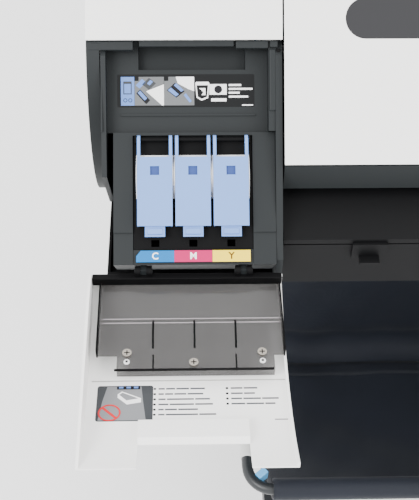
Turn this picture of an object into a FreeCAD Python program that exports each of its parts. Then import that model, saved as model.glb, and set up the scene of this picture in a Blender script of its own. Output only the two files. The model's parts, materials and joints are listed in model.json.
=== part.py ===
"""Wide-format inkjet printer on a caster stand, built as a parametric assembly of separate pieces.

Frame: +X to the operator's right, +Y to the back, +Z up, millimetres. The origin is on the floor, midway between
the stand's legs and under the middle of the feet. Both ink covers stand open, all other covers are shut.
"""
import FreeCAD
import Part
import Sketcher
import os
import re

DOC = FreeCAD.newDocument("printer")
SHEET = DOC.addObject("Spreadsheet::Sheet", "Sizes")

# Driving dimensions, in millimetres and degrees.
SIZES = {
    # main unit
    "body_w": 997, "bay_w": 195.5, "base_z": 722, "roof_up": 340, "rear_y": 300, "skin": 3, "seam_gap": 1,
    "deck_front_y": -127.8, "deck_up": 214.6, "deck_slope": 43, "cover_run": 124, "roof_split_y": 118,
    "tray_front_y": -258, "tray_wall_h": 12, "side_skin": 4, "rim_w": 13, "rim_d": 12,
    "side_mid_y": -166, "side_mid_up": 119, "side_foot_y": -118,
    # viewing window in the top cover
    "lens_len": 482, "lens_w": 40, "lens_up": 20.6, "lens_gap": 0.3, "lens_flange": 4,
    # front strip and exit
    "band_h": 33, "band_return": 14, "exit_back_y": -122, "exit_lip_y": -262, "exit_lip_up": 67,
    "exit_back_up": 84,
    "rib_pitch": 43, "rib_w": 1.6, "rib_h": 1.5,
    # ink bay
    "bay_y": -200, "bay_up": 140, "bay_slope": 36, "tank_inset": 104.9, "tank_pitch": 37.9,
    "well_gap": 3.15, "well_top": 12, "well_foot": -103, "frame_inset": 25.5, "frame_reach": 187.5,
    "frame_foot": -118,
    "frame_step": -86, "frame_d": 68, "frame_drop": 9, "hood_sink": 25, "hood_skin": 2.5, "hood_reach": 181,
    "hood_inset": 14, "pocket_half": 54, "pocket_d": 11, "pocket_h": 26, "hood_foot": 18, "hood_len": 71.5,
    # ink tanks and their lock levers
    "tank_w": 33, "tank_top": -12, "tank_foot": -79, "tank_lid": -6, "tank_floor": -60, "grip_r": 31,
    "grip_w": 37,
    "grip_at": -30, "grip_rise": -0.8, "lever_w": 35, "lever_top": -11, "lever_foot": -80.5, "lever_t": 2.2,
    "arm_w": 3.2, "pivot_v": 7.5, "pivot_n": -7, "pivot_r": 2.2, "hub_r": 4.2, "pin_gap": 0.06,
    "tab_w": 20, "tab_len": 9, "tab_drop": 4, "hole_w": 9, "hole_at": -25, "skirt_h": 5,
    # ink covers
    "hinge_y": -290, "hinge_up": 54, "cover_len": 222, "cover_skin": 2.5, "bulge": 30, "hinge_r": 2,
    "knuckle_r": 4.5,
    "knuckle_w": 5, "lug_w": 6, "knuckle_at": 50, "grip_cut_w": 100, "grip_cut_d": 33,
    "screw_r": 1.5, "screw_head_r": 4.4, "screw_span": 64.5, "liner_n": -13, "flange_n": -18,
    "liner_inset": 12.5,
    # control panel
    "panel_w": 160, "panel_len": 128, "panel_t": 3, "panel_up": 96, "lcd_w": 74, "lcd_h": 40,
    "key_r": 7, "key_gap": 0.4, "key_proud": 1.5,
    # print mechanism
    "shaft_y": 24, "shaft_up": 128, "shaft_r": 7, "shaft_len": 940, "shaft_gap": 0.06, "carriage_w": 112,
    "carriage_d": 92, "platen_up": 86, "platen_d": 86, "platen_w": 620, "head_w": 76,
    "pulley_r": 9, "pulley_x": 452, "pulley_y": 56, "belt_up": 150, "belt_w": 8, "belt_t": 1.4,
    "belt_gap": 0.3,
    "feed_r": 11, "feed_y": 30, "pinch_r": 6,
    # paper roll and service parts
    "spool_y": 212, "spool_up": 240, "spool_r": 13, "flange_r": 52, "flange_t": 12, "spool_len": 660,
    "cart_w": 120, "cart_d": 150, "cart_h": 30, "cart_x": 210,
    # stand
    "leg_x": 255, "leg_w": 36, "leg_d": 90, "leg_y": 40, "foot_len": 700, "foot_w": 54, "foot_h": 38,
    "foot_z": 78,
    "bar_z": 250, "bar_h": 70, "bar_t": 30, "wheel_r": 27, "wheel_w": 18, "axle_r": 4,
    "stem_r": 6, "caster_trail": 16, "caster_in": 34,
    # output basket
    "rod_r": 7, "basket_x": 328, "rod_y": -356, "rod_z": 450, "bend_r": 30, "arm_pivot_y": -24,
    "rear_rod_y": -40,
    "rear_rod_z": 640, "fold_y": -70, "fold_z": 292, "cloth_t": 4, "cloth_gap": 3, "cloth_half": 300,
}
for row, (alias, size) in enumerate(SIZES.items(), start=1):
    SHEET.set("A%d" % row, alias)
    SHEET.set("B%d" % row, str(size))
    SHEET.setAlias("B%d" % row, alias)
DOC.recompute()

# Places that follow the stand's height, the machine's width or the tanks, written from the driving dimensions.
PLACES = {
    "roof_z": "(base_z + roof_up)",
    "deck_front_z": "(base_z + deck_up)",
    "side_mid_z": "(base_z + side_mid_up)",
    "exit_lip_z": "(base_z + exit_lip_up)",
    "exit_back_z": "(base_z + exit_back_up)",
    "bay_z": "(base_z + bay_up)",
    "hinge_z": "(base_z + hinge_up)",
    "shaft_z": "(base_z + shaft_up)",
    "platen_z": "(base_z + platen_up)",
    "belt_z": "(base_z + belt_up)",
    "spool_z": "(base_z + spool_up)",
    "tank_mid_x": "(body_w/2 - tank_inset)",
    "frame_out_x": "(body_w/2 - frame_inset)",
    "frame_in_x": "(body_w/2 - frame_reach)",
    "hood_in_x": "(body_w/2 - hood_reach)",
    "hood_out_x": "(body_w/2 - hood_inset)",
    "liner_out_x": "(body_w/2 - liner_inset)",
    "well_half": "(1.5 * tank_pitch + well_gap)",
}

ALIAS = re.compile(r"\b(" + "|".join(sorted(SIZES, key=len, reverse=True)) + r")\b")
PLACE = re.compile(r"\b(" + "|".join(PLACES) + r")\b")
PARTS = []

# Derived places, written from the driving dimensions.
HALF = "(body_w / 2)"
SEAM = "(body_w / 2 - bay_w + seam_gap)"
COVER_X = "(body_w / 2 - bay_w - seam_gap)"
RISE_Y = "(deck_front_y + (roof_z - deck_front_z) / tan(deck_slope))"
LIP_Y = "(deck_front_y - cover_run * cos(deck_slope))"
LIP_Z = "(deck_front_z - cover_run * sin(deck_slope))"
SLANT_Y = "skin * sin(deck_slope)"
SLANT_Z = "skin * cos(deck_slope)"
HOOD_Y = "(deck_front_y - hood_len * cos(deck_slope) + hood_sink * sin(deck_slope))"
HOOD_Z = "(deck_front_z - hood_len * sin(deck_slope) - hood_sink * cos(deck_slope))"


def text(size):
    """A size as an expression on the sheet's cells."""
    placed = PLACE.sub(lambda found: PLACES[found.group(1)], str(size))
    return ALIAS.sub(r"Sizes.\1", placed)


def num(size):
    """The present value of an expression."""
    value = SHEET.evalExpression(text(size))
    return float(getattr(value, "Value", value))


def bind(obj, prop, size):
    obj.setExpression(prop, text(size))


def keep(obj, label):
    """Marks an object as one of the assembly's pieces."""
    obj.Label = label
    PARTS.append(obj)
    return obj


def place(obj, base, slope="0"):
    """Puts a finished piece at a point, tipped by slope about X."""
    if obj.isDerivedFrom("Part::Primitive"):
        obj = group(obj)
    spot = FreeCAD.Vector(*[num(b) for b in base])
    obj.Placement = FreeCAD.Placement(spot, FreeCAD.Rotation(FreeCAD.Vector(1, 0, 0), num(slope)))
    for name, size in zip("xyz", base):
        bind(obj, "Placement.Base." + name, size)
    if slope != "0":
        bind(obj, "Placement.Rotation.Angle", slope)
    return obj


def box(x, y, z):
    """A block from three (low, high) pairs."""
    block = DOC.addObject("Part::Box", "Block")
    for prop, axis, (low, high) in zip(("Length", "Width", "Height"), "xyz", (x, y, z)):
        bind(block, prop, "(%s) - (%s)" % (high, low))
        bind(block, "Placement.Base." + axis, low)
    return block


TURNS = {"x": FreeCAD.Rotation(FreeCAD.Vector(0, 1, 0), 90), "y": FreeCAD.Rotation(FreeCAD.Vector(1, 0, 0), -90),
         "z": FreeCAD.Rotation()}


def rod(axis, at, low, high, radius):
    """A cylinder along one axis; at holds its place on the two other axes in X, Y, Z order."""
    bar = DOC.addObject("Part::Cylinder", "Rod")
    bar.Placement = FreeCAD.Placement(FreeCAD.Vector(), TURNS[axis])
    bind(bar, "Radius", radius)
    bind(bar, "Height", "(%s) - (%s)" % (high, low))
    spots = list(at)
    spots.insert("xyz".index(axis), low)
    for name, size in zip("xyz", spots):
        bind(bar, "Placement.Base." + name, size)
    return bar


def fuse(*shapes):
    if len(shapes) == 1:
        return shapes[0]
    joined = DOC.addObject("Part::MultiFuse", "Joined")
    joined.Shapes = list(shapes)
    joined.Refine = True
    return joined


def cut(base, *tools):
    result = DOC.addObject("Part::Cut", "Shaped")
    result.Base = base
    result.Tool = fuse(*tools)
    result.Refine = True
    return result


def group(*shapes):
    """Several separate solids that share one node."""
    cluster = DOC.addObject("Part::Compound", "Cluster")
    cluster.Links = list(shapes)
    return cluster


def outline(sketch, points):
    """Draws a closed outline. A point is (a, b); a tuple (a, b, via_a, via_b) reaches the next point by an arc."""
    spots = [FreeCAD.Vector(num(p[0]), num(p[1]), 0) for p in points]
    count = len(points)
    ends = []
    for i, point in enumerate(points):
        first, last = spots[i], spots[(i + 1) % count]
        if len(point) == 2:
            sketch.addGeometry(Part.LineSegment(first, last), False)
            ends.append((1, 2))
        else:
            via = FreeCAD.Vector(num(point[2]), num(point[3]), 0)
            arc = Part.Arc(first, via, last)
            sketch.addGeometry(arc, False)
            leftward = (via - first).cross(last - via).z > 0
            ends.append((1, 2) if leftward else (2, 1))
    for i in range(count):
        after = (i + 1) % count
        sketch.addConstraint(Sketcher.Constraint("Coincident", i, ends[i][1], after, ends[after][0]))
    for i, point in enumerate(points):
        pin(sketch, i, ends[i][0], point[0], point[1])
        if len(point) == 4:
            via = sketch.addGeometry(Part.Point(FreeCAD.Vector(num(point[2]), num(point[3]), 0)), True)
            sketch.addConstraint(Sketcher.Constraint("PointOnObject", via, 1, i))
            pin(sketch, via, 1, point[2], point[3])


def pin(sketch, index, end, across, up):
    """Ties one sketch point to its two sizes."""
    for kind, size in (("DistanceX", across), ("DistanceY", up)):
        tie = sketch.addConstraint(Sketcher.Constraint(kind, -1, 1, index, end, num(size)))
        sketch.setExpression("Constraints[%d]" % tie, text(size))


PLANES = {"yz": "YZ_Plane", "xy": "XY_Plane"}


def prism(plane, points, low, high):
    """A body padded from an outline: on plane yz it runs along X, on plane xy along Z."""
    body = DOC.addObject("PartDesign::Body", "Body")
    face = [f for f in body.Origin.OriginFeatures if f.Role == PLANES[plane]][0]
    sketch = body.newObject("Sketcher::SketchObject", "Sketch")
    sketch.AttachmentSupport = [(face, "")]
    sketch.MapMode = "FlatFace"
    outline(sketch, points)
    sketch.setExpression("AttachmentOffset.Base.z", text(low))
    pad = body.newObject("PartDesign::Pad", "Pad")
    pad.Profile = sketch
    bind(pad, "Length", "(%s) - (%s)" % (high, low))
    return body


def sided(side, low, high):
    """An X range measured outward from the middle, for the left (-1) or right (1) end."""
    return (low, high) if side > 0 else ("-(%s)" % high, "-(%s)" % low)


# Shells of the main unit

def base_tray():
    outer = box(("15 - body_w/2", "body_w/2 - 15"), ("tray_front_y", "rear_y - 8"),
                ("base_z", "base_z + tray_wall_h"))
    inner = box(("15 - body_w/2 + skin", "body_w/2 - 15 - skin"), ("tray_front_y + skin", "rear_y"),
                ("base_z + skin", "base_z + 2 * tray_wall_h"))
    keep(cut(outer, inner), "base_tray")


def side_case(side, label):
    top_y, top_z = "deck_front_y + 1.2 * " + SLANT_Y, "deck_front_z - 1.2 * " + SLANT_Z
    roof = "roof_z - skin - 0.5"
    rise = RISE_Y + " + skin"
    back = "rear_y - skin - 0.5"
    nose = ("deck_front_y", top_z + " - 1.5", "side_mid_y + 2", "side_mid_z")
    plate = prism("yz", [nose, ("side_foot_y", "base_z"), (back, "base_z"), (back, roof), (rise, roof),
                         (top_y, top_z)], *sided(side, "body_w/2 - side_skin", HALF))
    rim = prism("yz", [nose, ("side_foot_y", "base_z"),
                       ("side_foot_y + rim_d", "base_z", "side_mid_y + 2 + rim_d", "side_mid_z"),
                       ("deck_front_y + rim_d", top_z + " + 1")],
                *sided(side, "body_w/2 - rim_w", "body_w/2 - side_skin/2"))
    keep(fuse(plate, rim), label)


LID_PIN = ("roof_split_y - 6", "roof_z - 9")
ROLL_PIN = ("rear_y - 10", "roof_z - 56")


def top_deck(side, label):
    """The white end cover: slanted front face, flat roof and a short drop at the back."""
    points = [("deck_front_y", "deck_front_z"), (RISE_Y, "roof_z"), ("rear_y", "roof_z"), ("rear_y", "roof_z - 60"),
              ("rear_y - skin", "roof_z - 60"), ("rear_y - skin", "roof_z - skin"),
              (RISE_Y + " + skin * 0.4", "roof_z - skin"),
              ("deck_front_y + " + SLANT_Y, "deck_front_z - " + SLANT_Z)]
    parts = [prism("yz", points, *sided(side, SEAM, HALF))]
    for y, z in (LID_PIN, ROLL_PIN):
        lug_x = sided(side, SEAM + " + 0.5", SEAM + " + 6")
        pin_x = sided(side, "body_w/2 - bay_w - 13", SEAM + " + 1")
        parts.append(box(lug_x, (y + " - 6", y + " + 8"), (z + " - 6", z + " + 7")))
        parts.append(rod("x", (y, z), pin_x[0], pin_x[1], "hinge_r"))
    deck = fuse(*parts)
    if side < 0:
        keep(deck, label)
        return
    window = box(("body_w/2 - bay_w/2 - panel_w/2 - 0.3", "body_w/2 - bay_w/2 + panel_w/2 + 0.3"),
                 ("panel_up - panel_len/2 - 0.3", "panel_up + panel_len/2 + 0.3"), (-20, 20))
    window = place(window, (0, "deck_front_y", "deck_front_z"), "deck_slope")
    keep(cut(deck, window), label)


def place_on_deck(obj):
    return place(obj, (0, "deck_front_y", "deck_front_z"), "deck_slope")


def stadium(length, width, low, high):
    """A slot shape centred on the deck slope, up from the deck's front edge."""
    across = "(%s)/2 - (%s)/2" % (length, width)
    bar = box(("-(%s)" % across, across), ("lens_up - (%s)/2" % width, "lens_up + (%s)/2" % width), (low, high))
    ends = [rod("z", (s + "(%s)" % across, "lens_up"), low, high, "(%s)/2" % width) for s in ("-", "")]
    return fuse(bar, *ends)


def top_cover():
    """The big lid over the print path, hinged at the top."""
    back = "roof_split_y"
    points = [(LIP_Y, LIP_Z), (RISE_Y, "roof_z"), (back, "roof_z"), (back, "roof_z - skin"),
              (RISE_Y + " + skin * 0.4", "roof_z - skin"), (LIP_Y + " + " + SLANT_Y, LIP_Z + " - " + SLANT_Z)]
    lid = prism("yz", points, "-" + COVER_X, COVER_X)
    hole = place_on_deck(stadium("lens_len + 2 * lens_gap", "lens_w + 2 * lens_gap", -20, 20))
    shell = cut(lid, hole)
    ears = []
    for side in (-1, 1):
        x = sided(side, "body_w/2 - bay_w - 14", "body_w/2 - bay_w - 8")
        ear = box(x, ("roof_split_y - 10", "roof_split_y - 2"), ("roof_z - 14", "roof_z - skin/2"))
        ears.append(cut(ear, rod("x", LID_PIN, x[0] + " - 1", x[1] + " + 1",
                                 "hinge_r + pin_gap")))
    keep(fuse(shell, *ears), "top_cover")
    lens = fuse(stadium("lens_len", "lens_w", "-skin - 0.4", 0),
                stadium("lens_len + 2 * lens_flange", "lens_w + 2 * lens_flange", "-skin - 1.8", "-skin - 0.2"))
    keep(place_on_deck(lens), "top_cover_window")


def front_fascia():
    """The dark strip under the lid's front edge, with a return that closes the gap above the exit."""
    face = LIP_Y + " + 1"
    top = LIP_Z + " - skin"
    points = [(face, top), (face, top + " - band_h + 2"), (face + " + skin", top + " - band_h + 2"),
              (face + " + skin", top + " - skin"), (face + " + band_return", top + " - skin"),
              (face + " + band_return", top)]
    keep(prism("yz", points, "-" + COVER_X, COVER_X), "front_fascia")


def output_guide():
    """The ribbed slide the print leaves over."""
    points = [("exit_back_y", "exit_back_z"), ("-205", "exit_back_z"), ("exit_lip_y", "exit_lip_z"),
              ("exit_lip_y", "exit_lip_z - 6"), ("exit_lip_y + skin", "exit_lip_z - 6"),
              ("exit_lip_y + skin", "exit_lip_z - skin"), ("-205", "exit_back_z - skin"),
              ("exit_back_y", "exit_back_z - skin")]
    slide = prism("yz", points, "-" + COVER_X, COVER_X)
    ribs = []
    for i in range(-6, 7):
        at = "rib_pitch * %d" % i
        ribs.append(box((at + " - rib_w/2", at + " + rib_w/2"), ("-204", "exit_back_y - 2"),
                        ("exit_back_z - skin/2", "exit_back_z + rib_h")))
    platen = box(("-platen_w/2", "platen_w/2"), ("feed_y - 16 - platen_d", "feed_y - 16"),
                 ("platen_z - 8", "platen_z"))
    keep(group(fuse(slide, *ribs), platen, *front_panel()), "output_guide")


def front_panel():
    front = "tray_front_y - skin - 0.5"
    points = [(front, "base_z + 1"), (front, "exit_lip_z - 8"), (front + " + skin", "exit_lip_z - 8"),
              (front + " + skin", "base_z + 1")]
    hook = box(("-232", "-196"), ("exit_lip_y - 4", "exit_lip_y - 0.1"), ("exit_lip_z - 24", "exit_lip_z - 4"))
    tongue = box(("-224", "-204"), ("exit_lip_y - 14", "exit_lip_y - 2"), ("exit_lip_z - 24", "exit_lip_z - 20"))
    return [prism("yz", points, "-" + COVER_X, COVER_X), fuse(hook, tongue)]


def rear_shells():
    panel = box(("side_skin + 0.5 - body_w/2", "body_w/2 - side_skin - 0.5"), ("rear_y - 7", "rear_y - 4"),
                ("base_z + 1", "roof_z - 74"))
    slots = [box(("%d * 90 - 22" % i, "%d * 90 + 22" % i), ("rear_y - 20", "rear_y + 20"),
                 ("base_z + 120 + %d * 14" % j, "base_z + 126 + %d * 14" % j)) for i in (-3, -2) for j in range(4)]
    inlet = box(("300", "328"), ("rear_y - 20", "rear_y + 20"), ("base_z + 40", "base_z + 64"))
    ports = box(("352", "416"), ("rear_y - 20", "rear_y + 20"), ("base_z + 40", "base_z + 60"))
    hatch = box(("-cart_x - cart_w/2 - 2", "cart_w/2 + 2 - cart_x"), ("rear_y - 20", "rear_y + 20"),
                ("base_z + 14", "base_z + 22 + cart_h"))
    keep(cut(panel, inlet, ports, hatch, *slots), "rear_panel")
    low = "roof_split_y + 8"
    points = [(low, "roof_z"), ("rear_y", "roof_z"), ("rear_y", "roof_z - 60"), ("rear_y - skin", "roof_z - 60"),
              ("rear_y - skin", "roof_z - skin"), (low, "roof_z - skin")]
    parts = [prism("yz", points, "-" + COVER_X, COVER_X)]
    bores = []
    for side in (-1, 1):
        x = sided(side, "body_w/2 - bay_w - 12", "body_w/2 - bay_w - 6")
        parts.append(box(x, (ROLL_PIN[0] + " - 5", "rear_y - 1"), (ROLL_PIN[1] + " - 4", ROLL_PIN[1] + " + 5")))
        bores.append(rod("x", ROLL_PIN, x[0] + " - 1", x[1] + " + 1", "hinge_r + pin_gap"))
    keep(cut(fuse(*parts), *bores), "roll_cover")
    inlet_body = box(("300.4", "327.6"), ("rear_y - 30", "rear_y - 3"), ("base_z + 40.4", "base_z + 63.6"))
    hollow = box(("304", "324"), ("rear_y - 18", "rear_y"), ("base_z + 44", "base_z + 60"))
    pins = [box(("314 + %d * 6 - 1" % k, "314 + %d * 6 + 1" % k), ("rear_y - 22", "rear_y - 8"),
                ("base_z + 48", "base_z + 54")) for k in (-1, 0, 1)]
    inlet_part = fuse(cut(inlet_body, hollow), *pins)
    block = box(("352.4", "415.6"), ("rear_y - 22", "rear_y - 3"), ("base_z + 40.4", "base_z + 59.6"))
    sockets = [box(("356", "372"), ("rear_y - 14", "rear_y"), ("base_z + 44", "base_z + 56")),
               box(("380", "392"), ("rear_y - 14", "rear_y"), ("base_z + 45", "base_z + 55"))]
    keep(group(inlet_part, cut(block, *sockets)), "rear_sockets")


base_tray()
side_case(-1, "left_side_case")
side_case(1, "right_side_case")
top_deck(-1, "left_top_deck")
top_deck(1, "right_top_deck")
top_cover()
front_fascia()
output_guide()
rear_shells()


# Ink bays: everything in a bay is drawn flat, with y up the slope and z out of it, then tipped into place

def mid(side, offset):
    """An X place measured from the middle tank, positive toward the machine's outer end."""
    return "%d * (tank_mid_x + (%s))" % (side, offset)


def mid_range(side, low, high):
    ends = [mid(side, low), mid(side, high)]
    return (ends[0], ends[1]) if side > 0 else (ends[1], ends[0])


def place_in_bay(obj):
    return place(obj, (0, "bay_y", "bay_z"), "bay_slope")


def housing(side, label):
    """The recessed hood panel with its pocket, and the two cheeks beside the tanks."""
    x = sided(side, "hood_in_x - 7.5", "hood_out_x")
    pocket_x = mid_range(side, "-pocket_half", "pocket_half")
    cup_x = mid_range(side, "-pocket_half - 1.5", "pocket_half + 1.5")
    panel = box(x, ("-hood_foot", "hood_len + 18"), ("-hood_skin", 0))
    cup = box(cup_x, ("hood_len - pocket_h - 1.5", "hood_len + 1.5"), ("-pocket_d - 1.5", "-hood_skin/2"))
    hollow = box(pocket_x, ("hood_len - pocket_h", "hood_len"), ("-pocket_d", 5))
    ledge = box(mid_range(side, "-64", "72"), (-1, 1), ("-hood_skin/2", 1.5))
    inner = box(sided(side, "hood_in_x - 7.5", "hood_in_x"), ("-hood_foot", "hood_len + 18"), ("-hood_skin", 18))
    outer = box(sided(side, "hood_out_x - 1.5", "hood_out_x"), ("-hood_foot", "hood_len + 18"), ("-hood_skin", 18))
    back = box(x, ("hood_len + 16", "hood_len + 18"), ("-hood_skin", 19))
    hood = place(fuse(cut(fuse(panel, cup), hollow), ledge, inner, outer, back), (0, HOOD_Y, HOOD_Z), "deck_slope")
    cheek = [("hinge_y + 6", "base_z + 18"), ("hinge_y + 6", "hinge_z + 8"),
             ("deck_front_y - 7", "deck_front_z - 14"),
             ("deck_front_y + 30", "deck_front_z + 2"), ("deck_front_y + 30", "base_z + 18")]
    near = prism("yz", cheek, *sided(side, SEAM, "hood_in_x - 6.8"))
    far_points = [("side_foot_y - 40", "base_z + 18"), ("side_foot_y - 100", "hinge_z + 60"),
                  ("deck_front_y - 7", "deck_front_z - 14"), ("deck_front_y + 30", "deck_front_z + 2"),
                  ("deck_front_y + 30", "base_z + 18")]
    far = prism("yz", far_points, *sided(side, "hood_out_x - 5", "hood_out_x"))
    keep(fuse(hood, near, far), label)


def tank_frame(side):
    """The sloping bezel round the tanks, with the fixed pins of the cover's hinge."""
    x = sided(side, "frame_in_x", "frame_out_x")
    well_x = mid_range(side, "-well_half", "well_half")
    body = box(x, ("frame_foot", "well_top + 3"), ("-frame_d", "-frame_drop"))
    well = box(well_x, ("well_foot", "well_top"), ("-2 * frame_d", 20))
    lap = box(x, ("frame_foot - 1", "frame_step"), ("-frame_drop - 2", 10))
    lip = box(well_x, ("frame_foot - 1", "well_foot"), ("-frame_drop - 3", 10))
    bezel = place_in_bay(cut(body, well, lap, lip))
    pieces = [bezel]
    for spot in ("-knuckle_at", "knuckle_at"):
        lug_x = mid_range(side, spot + " - lug_w/2", spot + " + lug_w/2")
        pieces.append(box(lug_x, ("hinge_y - 3", "hinge_y + 12"), ("hinge_z - 3", "hinge_z + 3")))
        pin_x = mid_range(side, spot + " - lug_w/2 - knuckle_w - 1", spot + " + lug_w/2 + knuckle_w + 1")
        pieces.append(rod("x", ("hinge_y", "hinge_z"), pin_x[0], pin_x[1], "hinge_r"))
    return fuse(*pieces)


def tank_holder(side):
    """The black inner box with one compartment per tank and the rod the levers turn on."""
    shell = box(mid_range(side, "0.4 - well_half", "well_half - 0.4"), ("well_foot + 0.4", "well_top - 0.4"),
                ("-frame_d + 2", "-frame_drop - 3"))
    tools = []
    for i in (-1, 0, 1):
        at = "%d * tank_pitch" % i
        tools.append(box(mid_range(side, at + " - tank_w/2 - 0.4", at + " + tank_w/2 + 0.4"),
                         ("tank_foot - 0.5", "tank_top + 0.5"), ("tank_floor - 0.5", 20)))
        tools.append(box(mid_range(side, at + " - 4", at + " + 4"), ("well_foot + 3", "well_foot + 10"),
                         ("tank_floor + 20", 20)))
    ears = []
    for i in (-1.5, -0.5, 0.5, 1.5):
        at = "%g * tank_pitch" % i
        ears.append(box(mid_range(side, at + " - 0.7", at + " + 0.7"), ("well_top - 8.5", "well_top - 0.6"),
                        ("-frame_drop - 5", "pivot_n + pivot_r + 0.6")))
    ends = mid_range(side, "-1.5 * tank_pitch - 0.7", "1.5 * tank_pitch + 0.7")
    axle = rod("x", ("pivot_v", "pivot_n"), ends[0], ends[1], "pivot_r")
    return place_in_bay(fuse(cut(shell, *tools), axle, *ears))


def tank(side, at):
    """One ink tank; the two rims of its round thumb grip stand out beside the lever."""
    body = box(mid_range(side, at + " - tank_w/2", at + " + tank_w/2"), ("tank_foot", "tank_top"),
               ("tank_floor", "tank_lid"))
    ends = mid_range(side, at + " - grip_w/2", at + " + grip_w/2")
    disc = rod("x", ("grip_at", "grip_rise - grip_r"), ends[0], ends[1], "grip_r")
    below = box((ends[0] + " - 1", ends[1] + " + 1"), ("-120", "60"), ("-90", "tank_lid - 4"))
    slot = box(mid_range(side, at + " - lever_w/2 - 0.3", at + " + lever_w/2 + 0.3"), ("-120", "60"),
               ("tank_lid - 1.6", "20"))
    return place_in_bay(fuse(body, cut(disc, below, slot)))


def lever(side, at, label):
    """One lock lever: a creased plate with skirts, two arms to the pivot, and a latch tab at the free end."""
    crease = "lever_foot + 50"
    profile = [("lever_foot", 0), (crease, 0), ("lever_top", "-1.5"), ("lever_top", "-1.5 - lever_t"),
               (crease, "-lever_t"), ("lever_foot", "-lever_t")]
    plate = prism("yz", profile, *mid_range(side, at + " - lever_w/2", at + " + lever_w/2"))
    window = box(mid_range(side, at + " - hole_w/2", at + " + hole_w/2"),
                 ("hole_at - hole_w/2", "hole_at + hole_w/2"), (-20, 20))
    parts = [cut(plate, window)]
    for low, high in (("-lever_w/2", "arm_w - lever_w/2"), ("lever_w/2 - arm_w", "lever_w/2")):
        x = mid_range(side, at + " + " + low, at + " + " + high)
        arm = fuse(box(x, ("lever_top - 2", "pivot_v"), ("-skirt_h", "-1.5")),
                   rod("x", ("pivot_v", "pivot_n"), x[0], x[1], "hub_r"))
        parts.append(cut(arm, rod("x", ("pivot_v", "pivot_n"), x[0] + " - 1", x[1] + " + 1", "pivot_r + pin_gap")))
    for low, high in (("-lever_w/2", "1.4 - lever_w/2"), ("lever_w/2 - 1.4", "lever_w/2")):
        parts.append(box(mid_range(side, at + " + " + low, at + " + " + high), ("lever_foot", "lever_top - 1"),
                         ("-skirt_h", "-lever_t/2")))
    tab_x = mid_range(side, at + " - tab_w/2", at + " + tab_w/2")
    parts.append(box(tab_x, ("lever_foot - tab_len", "lever_foot + 1.5"), ("-tab_drop - 0.5", "-tab_drop + 1")))
    parts.append(box(tab_x, ("lever_foot", "lever_foot + 1.5"), ("-tab_drop - 0.5", "-lever_t/2")))
    parts.append(box(tab_x, ("lever_foot - tab_len - 1.5", "lever_foot - tab_len"), ("-tab_drop - 0.5", "-1")))
    keep(place_in_bay(fuse(*parts)), label)


# Ink covers: drawn open, with the hinge line at the origin, the cover running toward -Y and its outside down

def place_cover(obj):
    return place(obj, (0, "hinge_y", "hinge_z"))


def cover_profile(depth):
    """The curved skin, as deep as asked."""
    far = "-cover_len"
    half = "-cover_len/2"
    return [("-2", "-22", half, "-bulge - 5"), (far, "-2"), (far, "-2 + (%s)" % depth, half, "-bulge - 5 + " + depth),
            ("-4.5", "-22 + " + depth), ("-4.5", "-4"), ("-2", "-4")]


def ink_cover(side):
    skin = prism("yz", cover_profile("cover_skin"), *sided(side, "body_w/2 - bay_w + 2", "body_w/2 - 1"))
    rim = prism("yz", cover_profile("cover_skin + 5"), *sided(side, "body_w/2 - bay_w + 2", "body_w/2 - bay_w + 4.5"))
    cheek = [("-2", "-22", "-cover_len/2", "-bulge - 5"), ("-cover_len", "-2"),
             ("-cover_len", "0.5", "-150", "3"), ("-70", "4", "-30", "4"), ("-6", "1"), ("-2", "-4")]
    wall = prism("yz", cheek, *sided(side, "body_w/2 - 1 - cover_skin", "body_w/2 - 1"))
    grip_x = mid_range(side, "2 - grip_cut_w/2", "2 + grip_cut_w/2")
    grip_y = "grip_cut_d - cover_len"
    notch = box(grip_x, ("-cover_len - 2", grip_y), ("-60", "60"))
    hump = prism("yz", [(grip_y + " + 30", "-25"), (grip_y + " + 25", "-15"), (grip_y + " + 3", "-9"),
                        (grip_y + " - 2", "-13"), (grip_y, "-16")], *grip_x)
    pieces = [cut(fuse(skin, rim, wall), notch), hump]
    tools = []
    for spot in ("-knuckle_at", "knuckle_at"):
        for low, high in (("-lug_w/2 - 0.3 - knuckle_w", "-lug_w/2 - 0.3"),
                          ("lug_w/2 + 0.3", "lug_w/2 + 0.3 + knuckle_w")):
            x = mid_range(side, spot + " + (" + low + ")", spot + " + (" + high + ")")
            pieces.append(rod("x", (0, 0), x[0], x[1], "knuckle_r"))
            pieces.append(box(x, ("-4.5", "-1"), ("-8", "0")))
            tools.append(rod("x", (0, 0), x[0] + " - 1", x[1] + " + 1", "hinge_r + pin_gap"))
    return place_cover(cut(fuse(*pieces), *tools))


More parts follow.
